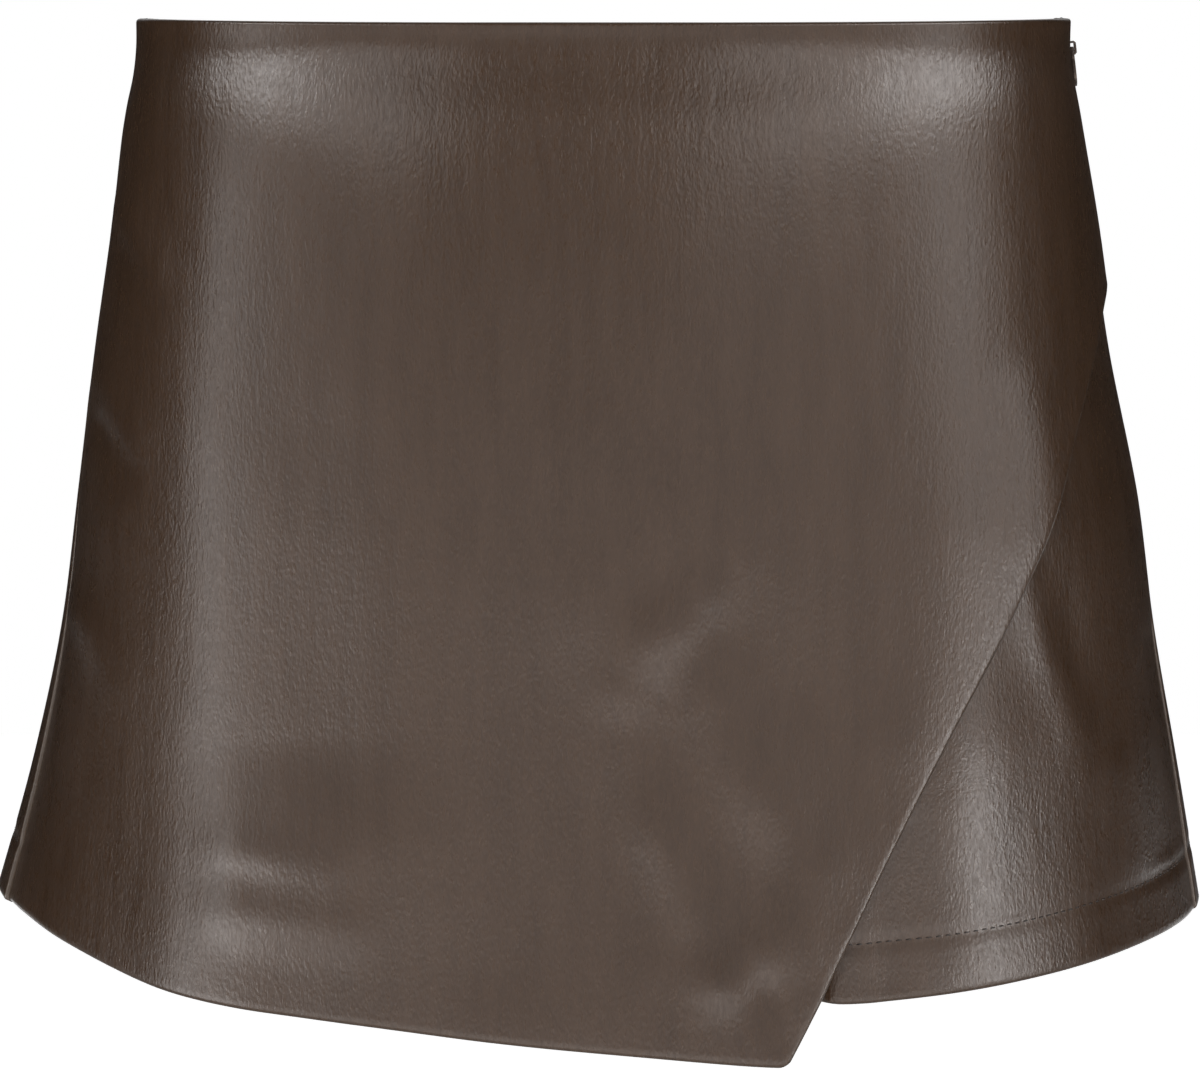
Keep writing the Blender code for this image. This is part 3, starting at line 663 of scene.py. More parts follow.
# %% The wrap's creases
WRAP_RELIEF = [
    # (x, drop, reach, height) of each point
    [(-132, 7, 5, -0.5), (-80, 6, 5, -0.5), (-48, 6, 7, -0.9), (-12, 5, 9, -1.7), (14, 5, 9, -1.6),
     (36, 5, 7.5, -1.1), (82, 6, 5, -0.5), (134, 7, 5, -0.5)],
    [(-134, 19, 8, 0.7), (-70, 19, 8, 0.5), (-20, 22, 9, 0.0)],
    [(134, 20, 8, 0.6), (76, 20, 8, 0.5), (30, 22, 9, 0.0)],
    [(-90, 150, 25, 0.5), (-88, 206, 25, 1.5), (-84, 240, 27, 4.6), (-84, 290, 27, 2.0)],
    [(-118, 120, 14, 0.4), (-112, 200, 15, 1.2), (-108, 290, 16, 2.6)],
    [(-150, 170, 22, -0.6), (-164, 290, 26, -3.2)],
    [(-126, 205, 10, 0.3), (-126, 290, 14, 1.5)],
    [(-112, 52, 13, 0.5), (-118, 120, 14, 0.4)],
    [(37, 154, 9, 0.4), (27, 164, 9, 1.2), (15, 176, 10, 1.9), (8, 190, 10, 1.3), (9, 206, 10, 0.3)],
    [(20, 146, 17, 0.5), (0, 168, 17, 0.7)],
    [(24, 176, 10, 0.4), (34, 195, 12, 1.5), (47, 220, 13, 2.4), (60, 241, 13, 1.6), (70, 258, 11, 0.5)],
    [(9, 208, 8, 0.3), (17, 232, 9, 1.7), (26, 252, 9, 1.3), (34, 272, 8, 0.5)],
    [(41, 264, 5, 0.4), (47, 278, 5, -0.9), (51, 291, 4, -0.4)],
    [(60, 244, 9, 0.4), (55, 262, 10, 1.6), (60, 278, 9, 0.7)],
    [(18, 271, 8, 0.3), (35, 274, 9, 1.5), (45, 269, 6, 0.4)],
    [(-121, 240, 7, 0.1), (-104, 239, 7, 0.9), (-80, 243, 7, 0.4)],
    [(-123, 260, 8, 0.1), (-104, 257, 9, 1.2), (-74, 261, 9, 0.8)],
    [(126, 108, 9, 1.0), (133, 150, 11, 0.8)],
    [(100, 150, 14, 0.6), (88, 205, 13, 0.9)],
    [(70, 120, 17, -0.5), (55, 190, 15, -0.6)],
    [(-60, 60, 24, 0.35), (-48, 250, 20, 0.55)],
    [(-20, 90, 16, -0.35), (-28, 270, 15, -0.55)],
    [(-84, 120, 13, -0.45), (-78, 260, 14, -0.6)],
    [(20, 60, 18, 0.5), (30, 140, 18, 0.5)],
    [(-5, 120, 12, 0.35), (2, 210, 12, 0.25)],
    [(-143, 58, 5, 1.0), (-133, 72, 7, 0.5)],
    [(-144, 70, 4, -0.7), (-136, 84, 6, -0.4)],
    [(-150, 108, 5, 0.9), (-139, 122, 7, 0.5)],
    [(-152, 122, 4, -0.8), (-142, 134, 6, -0.4)],
    [(-158, 180, 6, 0.8), (-146, 196, 8, 0.4)],
]
EDGE_ROOM, EDGE_ROOM_REACH, EDGE_ROOM_FREES = 0.0011, 0.020, 0.030
HEM_ROOM, HEM_ROOM_REACH, HEM_ROOM_FREES = 0.0009, 0.022, 0.035


def fold_lift(around, drop):
    """Extra room for the turned edges over the shorts."""
    lines = np.array([((a - 0.5) * FRONT_WIDTH, d) for a, d in WRAP_EDGE])
    x = (around - 0.5) * FRONT_WIDTH
    away = np.full(np.shape(x), np.inf)
    for start, end in zip(lines[:-1], lines[1:]):
        away = np.minimum(away, to_line(x, drop, start, end)[1])
    edge = near_to(away, EDGE_ROOM_REACH) * ease(drop, WRAP_LEAVES, WRAP_LEAVES + EDGE_ROOM_FREES)
    above_hem = HEM_DROP(np.minimum(around, WRAP_POINT[0])) - drop
    hem = near_to(above_hem, HEM_ROOM_REACH) * ease(around * FRONT_WIDTH, 0.0, HEM_ROOM_FREES)
    return EDGE_ROOM * edge + HEM_ROOM * hem


def wrap_surface(around, drop):
    """The wrap's outer side, with its swells and hollows."""
    around, drop = np.broadcast_arrays(np.asarray(around, float), np.asarray(drop, float))
    lift = wrap_air(around, drop) + CLOTH + fold_lift(around, drop)
    plain = on_front(around, drop, lift)
    return on_front(around, drop, lift + relief(WRAP_RELIEF, plain[..., 0], -plain[..., 2]))


print("creases on the wrap:", len(WRAP_RELIEF))

# %% [markdown]
# The wrap's left side is one line: down the seam, then along the free edge to the point. From each of its
# places the cloth goes inwards at about a right angle, so the turned edge keeps its width all the way. Near
# the point the inward way swings round to follow the hem, because the free edge and the hem meet there.

# %% The wrap's left side
EDGE_TURN = 0.020  # how far the free edge is turned under
INWARDS_REACH = 0.030  # the stretch over which the inward way is smoothed
POINT_ZONE = 0.060  # where it swings round to follow the hem
STRAIGHTENS = (WRAP_LEAVES + 0.030, WRAP_LEAVES + 0.070)  # below here the turn's width is measured square
SEAM_POINTS, FREE_POINTS = 60, 300


def left_boundary():
    """The wrap's left side as a path: down the seam, then down the free edge, in flat measure."""
    corners = np.array([((a - 0.5) * FRONT_WIDTH, d) for a, d in WRAP_EDGE])
    along = lengths_along(corners)
    free = smooth_curve(along, corners)(np.linspace(0, along[-1], FREE_POINTS))
    down_seam = np.linspace(0, WRAP_LEAVES, SEAM_POINTS)
    seam = np.column_stack([np.full(SEAM_POINTS, 0.5 * FRONT_WIDTH), down_seam])
    return np.vstack([seam[:-1], free])


LEFT_PATH = left_boundary()
LEFT_ALONG = lengths_along(LEFT_PATH)
EDGE_TANGENT = np.gradient(LEFT_PATH, LEFT_ALONG, axis=0)
EDGE_TANGENT /= np.linalg.norm(EDGE_TANGENT, axis=1, keepdims=True)
EDGE_NORMAL = np.column_stack([-EDGE_TANGENT[:, 1], EDGE_TANGENT[:, 0]])
POINT_SLOPE = EDGE_TANGENT[-1, 0] / EDGE_TANGENT[-1, 1]
HEM_SLOPE = (WRAP_POINT[1] - WRAP_HEM[0][1]) / (WRAP_POINT[0] * FRONT_WIDTH)


def inward_directions():
    """The way from each place of the left side into the cloth: smoothed, and along the hem at the point."""
    ways = near_to(LEFT_ALONG[:, None] - LEFT_ALONG[None, :], INWARDS_REACH) @ EDGE_NORMAL
    ways /= np.linalg.norm(ways, axis=1, keepdims=True)
    near_point = ease(LEFT_ALONG, LEFT_ALONG[-1] - POINT_ZONE, LEFT_ALONG[-1])[:, None]
    ways = ways * (1 - near_point) + np.array([-1.0, -HEM_SLOPE]) * near_point
    straight = (ways * EDGE_NORMAL).sum(1, keepdims=True)
    return ways / (1 + (straight - 1) * ease(LEFT_ALONG, *STRAIGHTENS)[:, None])


INWARDS = inward_directions()
print("the wrap's left side is", round(LEFT_ALONG[-1], 4), "m long, of which", WRAP_LEAVES, "m is sewn")

# %% [markdown]
# The wrap is one grid of cells. Its rows run across, from the right seam to the left side, and its columns
# run down, and both crowd together toward the edges, where the cloth folds back behind itself. Below the
# place where the wrap leaves the seam, the rows fan out toward the point.

# %% The wrap's grid
WRAP_COLUMNS, WRAP_ROWS = 196, 150
LEAN_COLUMNS = 14  # the columns over which the hem's turn starts to lean along the free edge
EDGE_FREES = 0.014  # below the seam's end, where the sewn edge becomes a turned one
HEM_FREES = 0.025  # from the right seam, where the hem's turn gets its full room
PROBE_AROUND, PROBE_DROP = 0.003, 0.0012  # the short steps that tell which way the surface faces
LAST_ROW = LEFT_ALONG[-1] - ZONE * math.hypot(1, POINT_SLOPE)


def row_ends(side, step, share):
    """A row's place along the left side, its drop on the right seam, and its share of the hem's curve."""
    if side > 0:
        return LEFT_ALONG[-1], WRAP_HEM[0][1], 1.0
    if side < 0:
        below_waist = seam_profile()[step, 0]
        return below_waist, below_waist, 0.0
    left = ZONE + (LAST_ROW - ZONE) * share
    if left <= WRAP_LEAVES:
        return left, left, share**2
    leaving = (WRAP_LEAVES - ZONE) / (LAST_ROW - ZONE)
    past = (share - leaving) / (1 - leaving)
    return left, WRAP_LEAVES + (WRAP_HEM[0][1] - ZONE - WRAP_LEAVES) * past, share**2


def folded(step):
    """How much of a fold is done at a step of an edge's profile, from 0 to 1."""
    return np.clip((step - len(EDGE_ZONE)) / FOLD_STEPS, 0, 1)


def left_turn(left):
    """The profile of the wrap's left side: sewn in above, and a full fold below where it leaves the seam."""
    freed = float(ease(left, WRAP_LEAVES, WRAP_LEAVES + EDGE_FREES))
    turned = edge_profile(EDGE_TURN) * np.array([1.0, 0.5 + 0.5 * freed])
    return seam_profile() * (1 - freed) + turned * freed


def bowed(flat, bow):
    """A row's flat places, moved down by its share of the hem's curve."""
    around = flat[:, 0] / FRONT_WIDTH + 0.5
    level = WRAP_HEM[0][1] + (WRAP_POINT[1] - WRAP_HEM[0][1]) * around / WRAP_POINT[0]
    down = np.where(around < WRAP_POINT[0], (HEM_DROP(around) - level) * bow, 0.0)
    return flat + np.column_stack([np.zeros(len(flat)), down]), around


def wrap_grid(columns, rows):
    """The pattern places of the wrap's grid, and each point's depth and nearness to a fold."""
    seam, hem = seam_profile(), edge_profile(HEM_TURN)
    across = edge_lines(columns)
    c_side, c_step, c_share = (np.array(values) for values in zip(*across))
    last_inner = len(across) - len(hem)
    lean = ease(np.arange(len(across)), last_inner - LEAN_COLUMNS, last_inner)
    on_right_side, on_left_side = (c_side < 0)[:, None], (c_side > 0)[:, None]
    places, depths, folds = [], [], []
    for side, step, share in edge_lines(rows):
        left, right, bow = row_ends(side, step, share)
        hem_in, row_depth = hem[step] if side > 0 else (0.0, seam[step, 1] if side < 0 else 0.0)
        edge, inwards = at_distance(LEFT_PATH, LEFT_ALONG, left), at_distance(INWARDS, LEFT_ALONG, left)
        # the row's places: straight across between the two side zones, and then in them
        first = np.array([-0.5 * FRONT_WIDTH + ZONE, right])
        last = edge + inwards * ZONE
        flat = first + (last - first) * c_share[:, None]
        from_side, depth = np.where(on_right_side, seam[c_step], left_turn(left)[c_step]).T
        on_right = np.column_stack([-0.5 * FRONT_WIDTH + from_side, np.full(len(across), right)])
        on_left = edge + inwards * (from_side + MITRE * (folded(step) if side > 0 else 0.0))[:, None]
        flat = np.where(on_right_side, on_right, np.where(on_left_side, on_left, flat))
        # the rows bow with the hem, and the hem's own turn goes back up
        flat, around = bowed(flat, bow)
        up = hem_in + MITRE * folded(c_step) * (c_side > 0) if side > 0 else np.zeros(len(lean))
        flat += np.column_stack([-POINT_SLOPE * lean, -np.ones(len(lean))]) * up[:, None]
        room = 0.5 + 0.5 * ease(around * FRONT_WIDTH, 0.0, HEM_FREES) if side > 0 else 1.0
        places.append(flat)
        depths.append(depth * (c_side != 0) + row_depth * room)
        rim = np.minimum(np.where(c_side != 0, from_side, 1.0), hem_in if side > 0 else 1.0)
        folds.append(sheen_and_wear_share(rim, depths[-1]))
    places = np.array(places)
    return places[..., 0] / FRONT_WIDTH + 0.5, places[..., 1], np.array(depths), np.array(folds)


def make_wrap():
    """The wrap panel, laid on its surface point by point."""
    around, drop, depth, fold = wrap_grid(WRAP_COLUMNS, WRAP_ROWS)
    middle, normal = normals_of(wrap_surface, around, drop, PROBE_AROUND, PROBE_DROP)
    laid = middle - normal * depth[..., None]
    uv = np.stack([(around - 0.5) * front_width(drop), -drop], axis=-1)
    return make_sheet("wrap_cloth", laid, uv, fold, (WRAP_COAT, KNIT_BACK), "wrap_front")


wrap_piece, wrap_area = make_wrap()

# %% [markdown]
# ## The shorts
# Under the wrap are wide shorts of four panels: a front and a back for each leg. Each panel follows the
# body's ring from its side seam and then turns in between the legs, round the rise and down the inseam.
# The panel is laid on a net of places that a smooth surface passes through.

# %% The shorts' panels as nets of places
# Each row has the drop at which it starts on the side seam, and the place where it ends on the inner edge:
# 0 to 1 down the middle of the front or back, 1 to 2 round the rise, 2 to 3 down the inseam.
SHORTS_ROWS = [
    (0.0000, 0.000), (0.0095, 0.072), (0.0107, 0.085), (0.0280, 0.225), (0.0520, 0.415), (0.0780, 0.630),
    (0.1020, 0.820), (0.1240, 1.000), (0.1380, 1.150), (0.1520, 1.300), (0.1660, 1.460), (0.1800, 1.630),
    (0.1960, 1.810), (0.2140, 2.000), (0.2340, 2.330), (0.2546, 2.625), (0.2558, 2.650), (0.2653, 2.825),
    (0.2748, 3.000),
]
CROTCH_DROP = 0.222
RISE_DROP = {"front": 0.128, "back": 0.124}
CROTCH_Y = 0.012
RISE_ROUNDNESS = 2.2
INSEAM_X, INSEAM_Y = 0.013, 0.006  # the inseam's place at the hem
CORNER_X = {"waist": 0.048, "hem": 0.072}  # where a panel leaves the body's ring
TURN_INWARDS = (1.0, 1.6)  # these three are stretches of the inner edge, counted as in the rows
CORNER_MOVES = (0.8, 2.4)
LEAVES_RING = (0.55, 1.15)
ROUND_PULL = 0.55
OUTER_STEPS = {"front": 12, "back": 11}
INNER_STEPS = 7
FIRST_STEP = 0.020
DIRECTION_STEP = 0.001
LAYER_REACH, LAYER_ENDS = 0.026, (0.055, 0.085)
SLIDER_OPENING, SLIDER_OPENING_ENDS = 0.0011, (0.0140, 0.0240)
INNER_AT = smooth_curve([row[0] for row in SHORTS_ROWS], [row[1] for row in SHORTS_ROWS])


def half_gap(side, drop):
    """Half the gap on a side seam; the left one is open a little at its top, round the zip's slider."""
    if side == "right":
        return SEAM_GAP / 2
    return SLIDER_OPENING + (SEAM_GAP / 2 - SLIDER_OPENING) * float(ease(drop, *SLIDER_OPENING_ENDS))


def layer_rise(distance):
    """How far the back lies out beside a side seam, where the wrap adds a layer to the front."""
    return (CLOTH + SEAM_GAP) * near_to(distance, LAYER_REACH)


def inner_edge(face, inner):
    """A panel's inner edge: its (x, y), its drop, and how far the cloth has turned inwards there."""
    rise, outwards = RISE_DROP[face], -1 if face == "front" else 1
    if inner <= 1:
        return np.array([0.0, outwards * FORM[face](inner * rise)]), inner * rise, 0.0
    if inner <= 2:
        angle = (inner - 1) * math.pi / 2
        reach = outwards * float(FORM[face](rise)) - CROTCH_Y
        y = CROTCH_Y + reach * max(0.0, math.cos(angle)) ** (2 / RISE_ROUNDNESS)
        drop = rise + (CROTCH_DROP - rise) * math.sin(angle) ** (2 / RISE_ROUNDNESS)
        turn = math.pi / 2 * float(ease(inner, *TURN_INWARDS))
        return np.array([SEAM_GAP / 2 * math.sin(turn), y]), drop, turn
    down = inner - 2
    x = SEAM_GAP / 2 + (INSEAM_X - SEAM_GAP / 2) * down
    y = CROTCH_Y + (INSEAM_Y - CROTCH_Y) * down
    return np.array([x, y]), CROTCH_DROP + (SIDE_DROP - CROTCH_DROP) * down, math.pi / 2


def leg_path(side, face, drop, inner):
    """A panel's path at one drop: its part along the body's ring, then the part to its inner edge."""
    end, _, turn = inner_edge(face, inner)
    corner = CORNER_X["waist"] + (CORNER_X["hem"] - CORNER_X["waist"]) * float(ease(inner, *CORNER_MOVES))
    ring = half_ring(side, face, drop)
    first = int(np.argmax(ring[:, 0] < corner))
    share = (ring[first - 1, 0] - corner) / (ring[first - 1, 0] - ring[first, 0])
    cut = ring[first - 1] + (ring[first] - ring[first - 1]) * share
    outer, rest = np.vstack([ring[:first], cut]), np.vstack([cut, ring[first:]])
    leaving = (outer[-1] - outer[-2]) / np.linalg.norm(outer[-1] - outer[-2])
    arriving = np.array([-math.cos(turn), (1 if face == "front" else -1) * math.sin(turn)])
    span = end - cut
    near = cut + leaving * ROUND_PULL * abs(span @ leaving)
    far = end - arriving * ROUND_PULL * abs(span @ arriving)
    t = np.linspace(0, 1, RING_STEPS // 2)[:, None]
    round_in = (1 - t) ** 3 * cut + 3 * (1 - t) ** 2 * t * near + 3 * (1 - t) * t * t * far + t**3 * end
    along = lengths_along(rest)
    rest = at_distance(rest, along, t[:, 0] * along[-1])
    return outer, rest + (round_in - rest) * float(ease(inner, *LEAVES_RING))


def net_point(side, face, drop_at_side, share):
    """A place of a panel: how far down its side seam its row starts, and its share of the row's length."""
    inner = float(INNER_AT(drop_at_side))
    _, inner_drop, _ = inner_edge(face, inner)
    drop = drop_at_side
    for _ in range(2):
        outer, rest = leg_path(side, face, drop, inner)
        outer_along, rest_along = lengths_along(outer), lengths_along(rest)
        start = half_gap(side, drop)
        outer_length, rest_length = outer_along[-1] - start, rest_along[-1] - SEAM_GAP / 2
        distance = share * (outer_length + rest_length)
        spaced = [0.0, FIRST_STEP, 1.0]
        if distance <= outer_length:
            step = np.interp(distance / outer_length, spaced, [0, 1, OUTER_STEPS[face]])
        else:
            left = 1 - (distance - outer_length) / rest_length
            step = OUTER_STEPS[face] + INNER_STEPS - np.interp(left, spaced, [0, 1, INNER_STEPS])
        across = float(ease(step / (OUTER_STEPS[face] + INNER_STEPS), 0.0, 1.0))
        drop = drop_at_side + (inner_drop - drop_at_side) * across
    path, along = (outer, outer_along) if distance <= outer_length else (rest, rest_along)
    at = start + distance if distance <= outer_length else distance - outer_length
    point = at_distance(path, along, at)
    if face == "back":
        step = at_distance(path, along, at + DIRECTION_STEP) - at_distance(path, along, at - DIRECTION_STEP)
        out = np.array([step[1], -step[0]]) / np.linalg.norm(step)
        ends = 1.0 if side == "right" else 1 - float(ease(drop, *LAYER_ENDS))
        point = point + out * ends * layer_rise(distance)
    return hung(point[0] if side == "left" else -point[0], point[1], drop)


crotch = inner_edge("front", 2.0)
print("the crotch lies", round(crotch[1], 3), "m below the waist, at y =", round(float(crotch[0][1]), 3))

# %% [markdown]
# A net of 33 by 33 places is too coarse for cloth, so each panel's surface is read from it on a much finer
# table, with smooth curves both ways. The creases and the line that the stitches pull in are added there,
# square to the surface. Hollows of the wrap reach through to the shorts in front, so the layers stay apart.

# %% The shorts' surfaces
STITCH_PULL, STITCH_REACH = 0.00045, 0.0018
CREASES_START = 0.020
NET_SIZE = (33, 33)
FINE_SIZE = (301, 321)


def curve_weights(places, at):
    """How much each of the places counts for a smooth curve's values at other places."""
    return smooth_curve(places, np.eye(len(places)))(at)


def outward_normals(fine):
    """The normals of a table of points, turned away from the body's middle."""
    across, down = np.gradient(fine, axis=1), np.gradient(fine, axis=0)
    normal = np.cross(across, down)
    normal /= np.linalg.norm(normal, axis=-1, keepdims=True)
    probe = FINE_SIZE[0] // 3, FINE_SIZE[1] // 4
    return normal * np.sign(fine[probe][:2] @ normal[probe][:2])


def panel_surface(side, face, relief_rows):
    """A smooth surface through a panel's net, as a table of points, with its rows' lengths and its height."""
    downs, acrosses = np.linspace(0, 1, NET_SIZE[0]), np.linspace(0, 1, NET_SIZE[1])
    net = np.array([[net_point(side, face, SIDE_DROP * v, u) for u in acrosses] for v in downs])
    fine_down = curve_weights(downs, np.linspace(0, 1, FINE_SIZE[0]))
    fine_across = curve_weights(acrosses, np.linspace(0, 1, FINE_SIZE[1]))
    fine = np.einsum("ri,ijk,cj->rck", fine_down, net, fine_across)
    lengths = np.linalg.norm(np.diff(fine, axis=1), axis=2).sum(1)
    height = float(np.median(np.linalg.norm(np.diff(fine, axis=0), axis=2).sum(0)))
    bumps = relief(relief_rows, fine[..., 0], -fine[..., 2])
    if face == "front":
        bumps = bumps + np.minimum(0.0, relief(WRAP_RELIEF, fine[..., 0], -fine[..., 2]))
    below = (1 - np.linspace(0, 1, FINE_SIZE[0]))[:, None] * height
    bumps = bumps - STITCH_PULL * near_to(below - HEM_TURN, STITCH_REACH)
    legs_apart = ease(np.abs(fine[..., 0]), 0.0, CREASES_START)
    return fine + outward_normals(fine) * (bumps * legs_apart)[..., None], lengths, height


def read_panel(table, share_down, share_across):
    """A panel's table read at shares of its height and width."""
    row = np.clip(share_down, 0, 1) * (table.shape[0] - 1)
    return read_grid(table, row, np.clip(share_across, 0, 1) * (table.shape[1] - 1))


print("each leg panel: a net of", NET_SIZE, "places, read at", FINE_SIZE)

# %% [markdown]
# A panel is a grid like the wrap's, but a plainer one, since its four sides are simple: it is bent in at its
# side seam and its middle, and turned in at the waist and the hem. The line of the hem's stitches is noted
# on the way, for the beads that come later.

# %% The shorts' panels
LEG_COLUMNS, LEG_ROWS = 150, 150
WAIST_TURN = 0.0095
BACK_CLOTH_START = 0.7  # the backs lie beside the fronts in the cloth's flat measure, so their grain differs
HEM_LINE_POINTS = 400
HEM_LINE_ENDS = (0.004, 0.996)
HEM_LINES = {}


def make_shorts_panel(side, face, relief_rows):
    """One panel of the shorts: sewn in at its side and its middle, folded at the waist and the hem."""
    fine, lengths, height = panel_surface(side, face, relief_rows)
    normal = outward_normals(fine)
    seam, waist, hem = seam_profile(), edge_profile(WAIST_TURN), edge_profile(HEM_TURN)
    lines_across, lines_down = edge_lines(LEG_COLUMNS), edge_lines(LEG_ROWS)
    places, folds, cloth = [], [], []
    for v_side, v_step, v_share in lines_down:
        profile = waist if v_side < 0 else hem
        v_in, v_depth = profile[v_step] if v_side else (ZONE + (height - 2 * ZONE) * v_share, 0.0)
        v = (1 - v_in / height) if v_side > 0 else v_in / height
        length = np.interp(v, np.linspace(0, 1, FINE_SIZE[0]), lengths)
        row = []
        for u_side, u_step, u_share in lines_across:
            u_in, u_depth = seam[u_step] if u_side else (ZONE + (length - 2 * ZONE) * u_share, 0.0)
            u = (1 - u_in / length) if u_side > 0 else u_in / length
            rim = min(u_in if u_side else 1.0, v_in if v_side else 1.0)
            row.append((u, u_depth + v_depth, rim))
        u, depth, rim = np.array(row).T
        down = np.full(len(u), v)
        places.append(read_panel(fine, down, u) - read_panel(normal, down, u) * depth[:, None])
        folds.append(sheen_and_wear_share(rim, depth))
        flat = u * length * (1 if side == "left" else -1) + (BACK_CLOTH_START if face == "back" else 0.0)
        cloth.append(np.column_stack([flat, -down * height]))
    level = np.full(HEM_LINE_POINTS, 1 - HEM_TURN / height)
    shares = np.linspace(*HEM_LINE_ENDS, HEM_LINE_POINTS)
    HEM_LINES[(side, face)] = read_panel(fine, level, shares), read_panel(normal, level, shares)
    name = f"shorts_{face}_{side}"
    finishes = (SHORTS_COAT, KNIT_BACK)
    places, cloth, folds = np.array(places), np.array(cloth), np.array(folds)
    return make_sheet(name + "_cloth", places, cloth, folds, finishes, name)


# %% [markdown]
# The legs have their own creases. Only the leg under the free edge shows any in front; both backs have soft
# ones under the seat. A loop then makes the four panels and states each one's cloth.

# %% The legs' creases
LEG_RELIEF = [
    # (x, drop, reach, height) of each point
    [(98, 170, 18, 1.6), (102, 214, 22, 3.6), (104, 272, 24, 2.6)],
    [(84, 216, 30, 1.0), (140, 216, 24, 1.0)],
    [(125, 164, 5, 0.4), (130, 184, 6, 0.9), (138, 204, 7, 0.8), (146, 222, 8, 0.3)],
    [(133, 158, 6, -0.4), (141, 186, 7, -0.7), (150, 214, 8, -0.3)],
    [(156, 150, 8, 0.5), (162, 250, 10, 0.7)],
    [(171, 190, 6, -0.7), (175, 250, 7, -0.6)],
    [(82, 236, 9, -0.6), (84, 276, 9, -0.8)],
    [(160, 210, 16, -0.6), (166, 276, 20, -2.0)],
]
BACK_RELIEF = [
    # (x, drop, reach, height) of each point
    [(-118, 150, 16, 0.8), (-108, 268, 20, 2.4)],
    [(-70, 190, 15, 0.6), (-62, 268, 17, 1.6)],
    [(-30, 200, 9, -0.6), (-34, 268, 10, -1.2)],
    [(-92, 200, 10, -0.6), (-88, 268, 11, -1.2)],
    [(34, 196, 12, 0.6), (40, 268, 14, 1.7)],
    [(78, 180, 14, 0.5), (86, 268, 17, 1.3)],
    [(60, 205, 9, -0.5), (62, 268, 9, -1.0)],
    [(116, 160, 15, 0.7), (124, 268, 18, 2.0)],
    [(144, 60, 5, 0.9), (136, 74, 7, 0.5)],
    [(150, 108, 5, 0.8), (141, 122, 7, 0.5)],
    [(-143, 62, 5, 0.9), (-134, 76, 7, 0.5)],
    [(-151, 118, 5, 0.8), (-141, 130, 7, 0.5)],
    [(-60, 12, 4, -0.5), (60, 12, 4, -0.5)],
]
for leg_side in ("left", "right"):
    front_leg, front_area = make_shorts_panel(leg_side, "front", LEG_RELIEF if leg_side == "left" else [])
    back_leg, back_area = make_shorts_panel(leg_side, "back", BACK_RELIEF)
    print(leg_side, "leg:", round(front_area, 4), "m2 in front and", round(back_area, 4), "m2 behind")

# %% [markdown]
# ## The hems' topstitching
# A row of small stitches runs all round each leg, 19 mm above the hem, where it holds the turned-up cloth.
# Each stitch is a short bead of thread pulled into the coating. A bead is repeated some hundreds of times,
# so it is only a small stretched ball of twenty faces, and all beads of a leg are one mesh.

# %% Stitch helpers
STITCH_PITCH = 0.0030
STITCH_LENGTH = 0.0021
STITCH_RADIUS = 0.00027
STITCH_SUNK = 0.3


def bead_row(bm, path, outwards):
    """Beads along a path of points, each lying on the cloth with its lower part in it."""
    along = lengths_along(path)
    count = int((along[-1] - STITCH_LENGTH) / STITCH_PITCH)
    size = Matrix.Diagonal((STITCH_LENGTH / 2, STITCH_RADIUS, STITCH_RADIUS, 1.0))
    for i in range(count):
        at = STITCH_LENGTH / 2 + STITCH_PITCH * (i + 0.5)
        place = Vector(at_distance(path, along, at))
        out = Vector(at_distance(outwards, along, at)).normalized()
        tangent = (Vector(at_distance(path, along, at + STITCH_LENGTH / 2)) - place).normalized()
        axes = Matrix((tangent, out.cross(tangent).normalized(), out)).transposed().to_4x4()
        spot = Matrix.Translation(place + out * STITCH_RADIUS * STITCH_SUNK) @ axes @ size
        bmesh.ops.create_icosphere(bm, subdivisions=1, radius=1.0, matrix=spot)
    return count


def trim_piece(name, bm, finish, body="skort"):
    """A finished mesh of thread or metal as a piece."""
    mesh = bpy.data.meshes.new(name)
    bm.to_mesh(mesh)
    bm.free()
    mesh.shade_smooth()
    mesh.materials.append(finish)
    piece = placed(name, mesh)
    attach(piece, body)
    print(name, len(mesh.polygons), "faces")
    return piece


def spotted(tree, scale, detail, roughness=0.5):
    """Noise on a piece's own place in space, for trims that aren't laid flat."""
    place = add(tree, "ShaderNodeTexCoord")
    node = add(tree, "ShaderNodeTexNoise", Scale=scale, Detail=detail, Roughness=roughness)
    tree.links.new(place.outputs["Object"], node.inputs["Vector"])
    return node.outputs["Fac"]


def sewing_thread(name, dark, pale):
    """Dark thread with a little twist in its tone."""
    made, tree, shader = new_material(name)
    twist = spotted(tree, 1800.0, 2.0)
    tree.links.new(mixed(tree, twist, dark, pale), shader.inputs["Base Color"])
    shader.inputs["Roughness"].default_value = 0.6
    bumped(tree, shader, twist, 0.5, 0.0001)
    return made


THREAD = sewing_thread("thread", (0.012, 0.008, 0.006), (0.050, 0.034, 0.026))

# %% [markdown]
# One row of beads goes round each leg, over the front panel and the back one, at the height where the hem's
# turn ends inside.

# %% The stitches round each leg
for leg_side in ("left", "right"):
    bm = bmesh.new()
    stitches = sum(bead_row(bm, *HEM_LINES[(leg_side, face)]) for face in ("front", "back"))
    trim_piece("hem_stitches_" + leg_side, bm, THREAD)
    print(stitches, "stitches round the", leg_side, "leg")

# %% [markdown]
# ## The zip
# A concealed zip closes the left side seam: two woven tapes inside the seam, a slider whose crown looks out
# at the top, and a small drop-shaped pull that hangs from it and swings. Each tape is a grid with a wall,
# like the cloth. It lies just inside its panel and follows the same ring, so it curves with the hip.

# %% Zip tapes
TAPE_WIDTH = 0.011
TAPE_GAP = 0.0008
TAPE_TOP, TAPE_BOTTOM = 0.0125, 0.1650
TAPE_COLUMNS, TAPE_ROWS = 12, 90


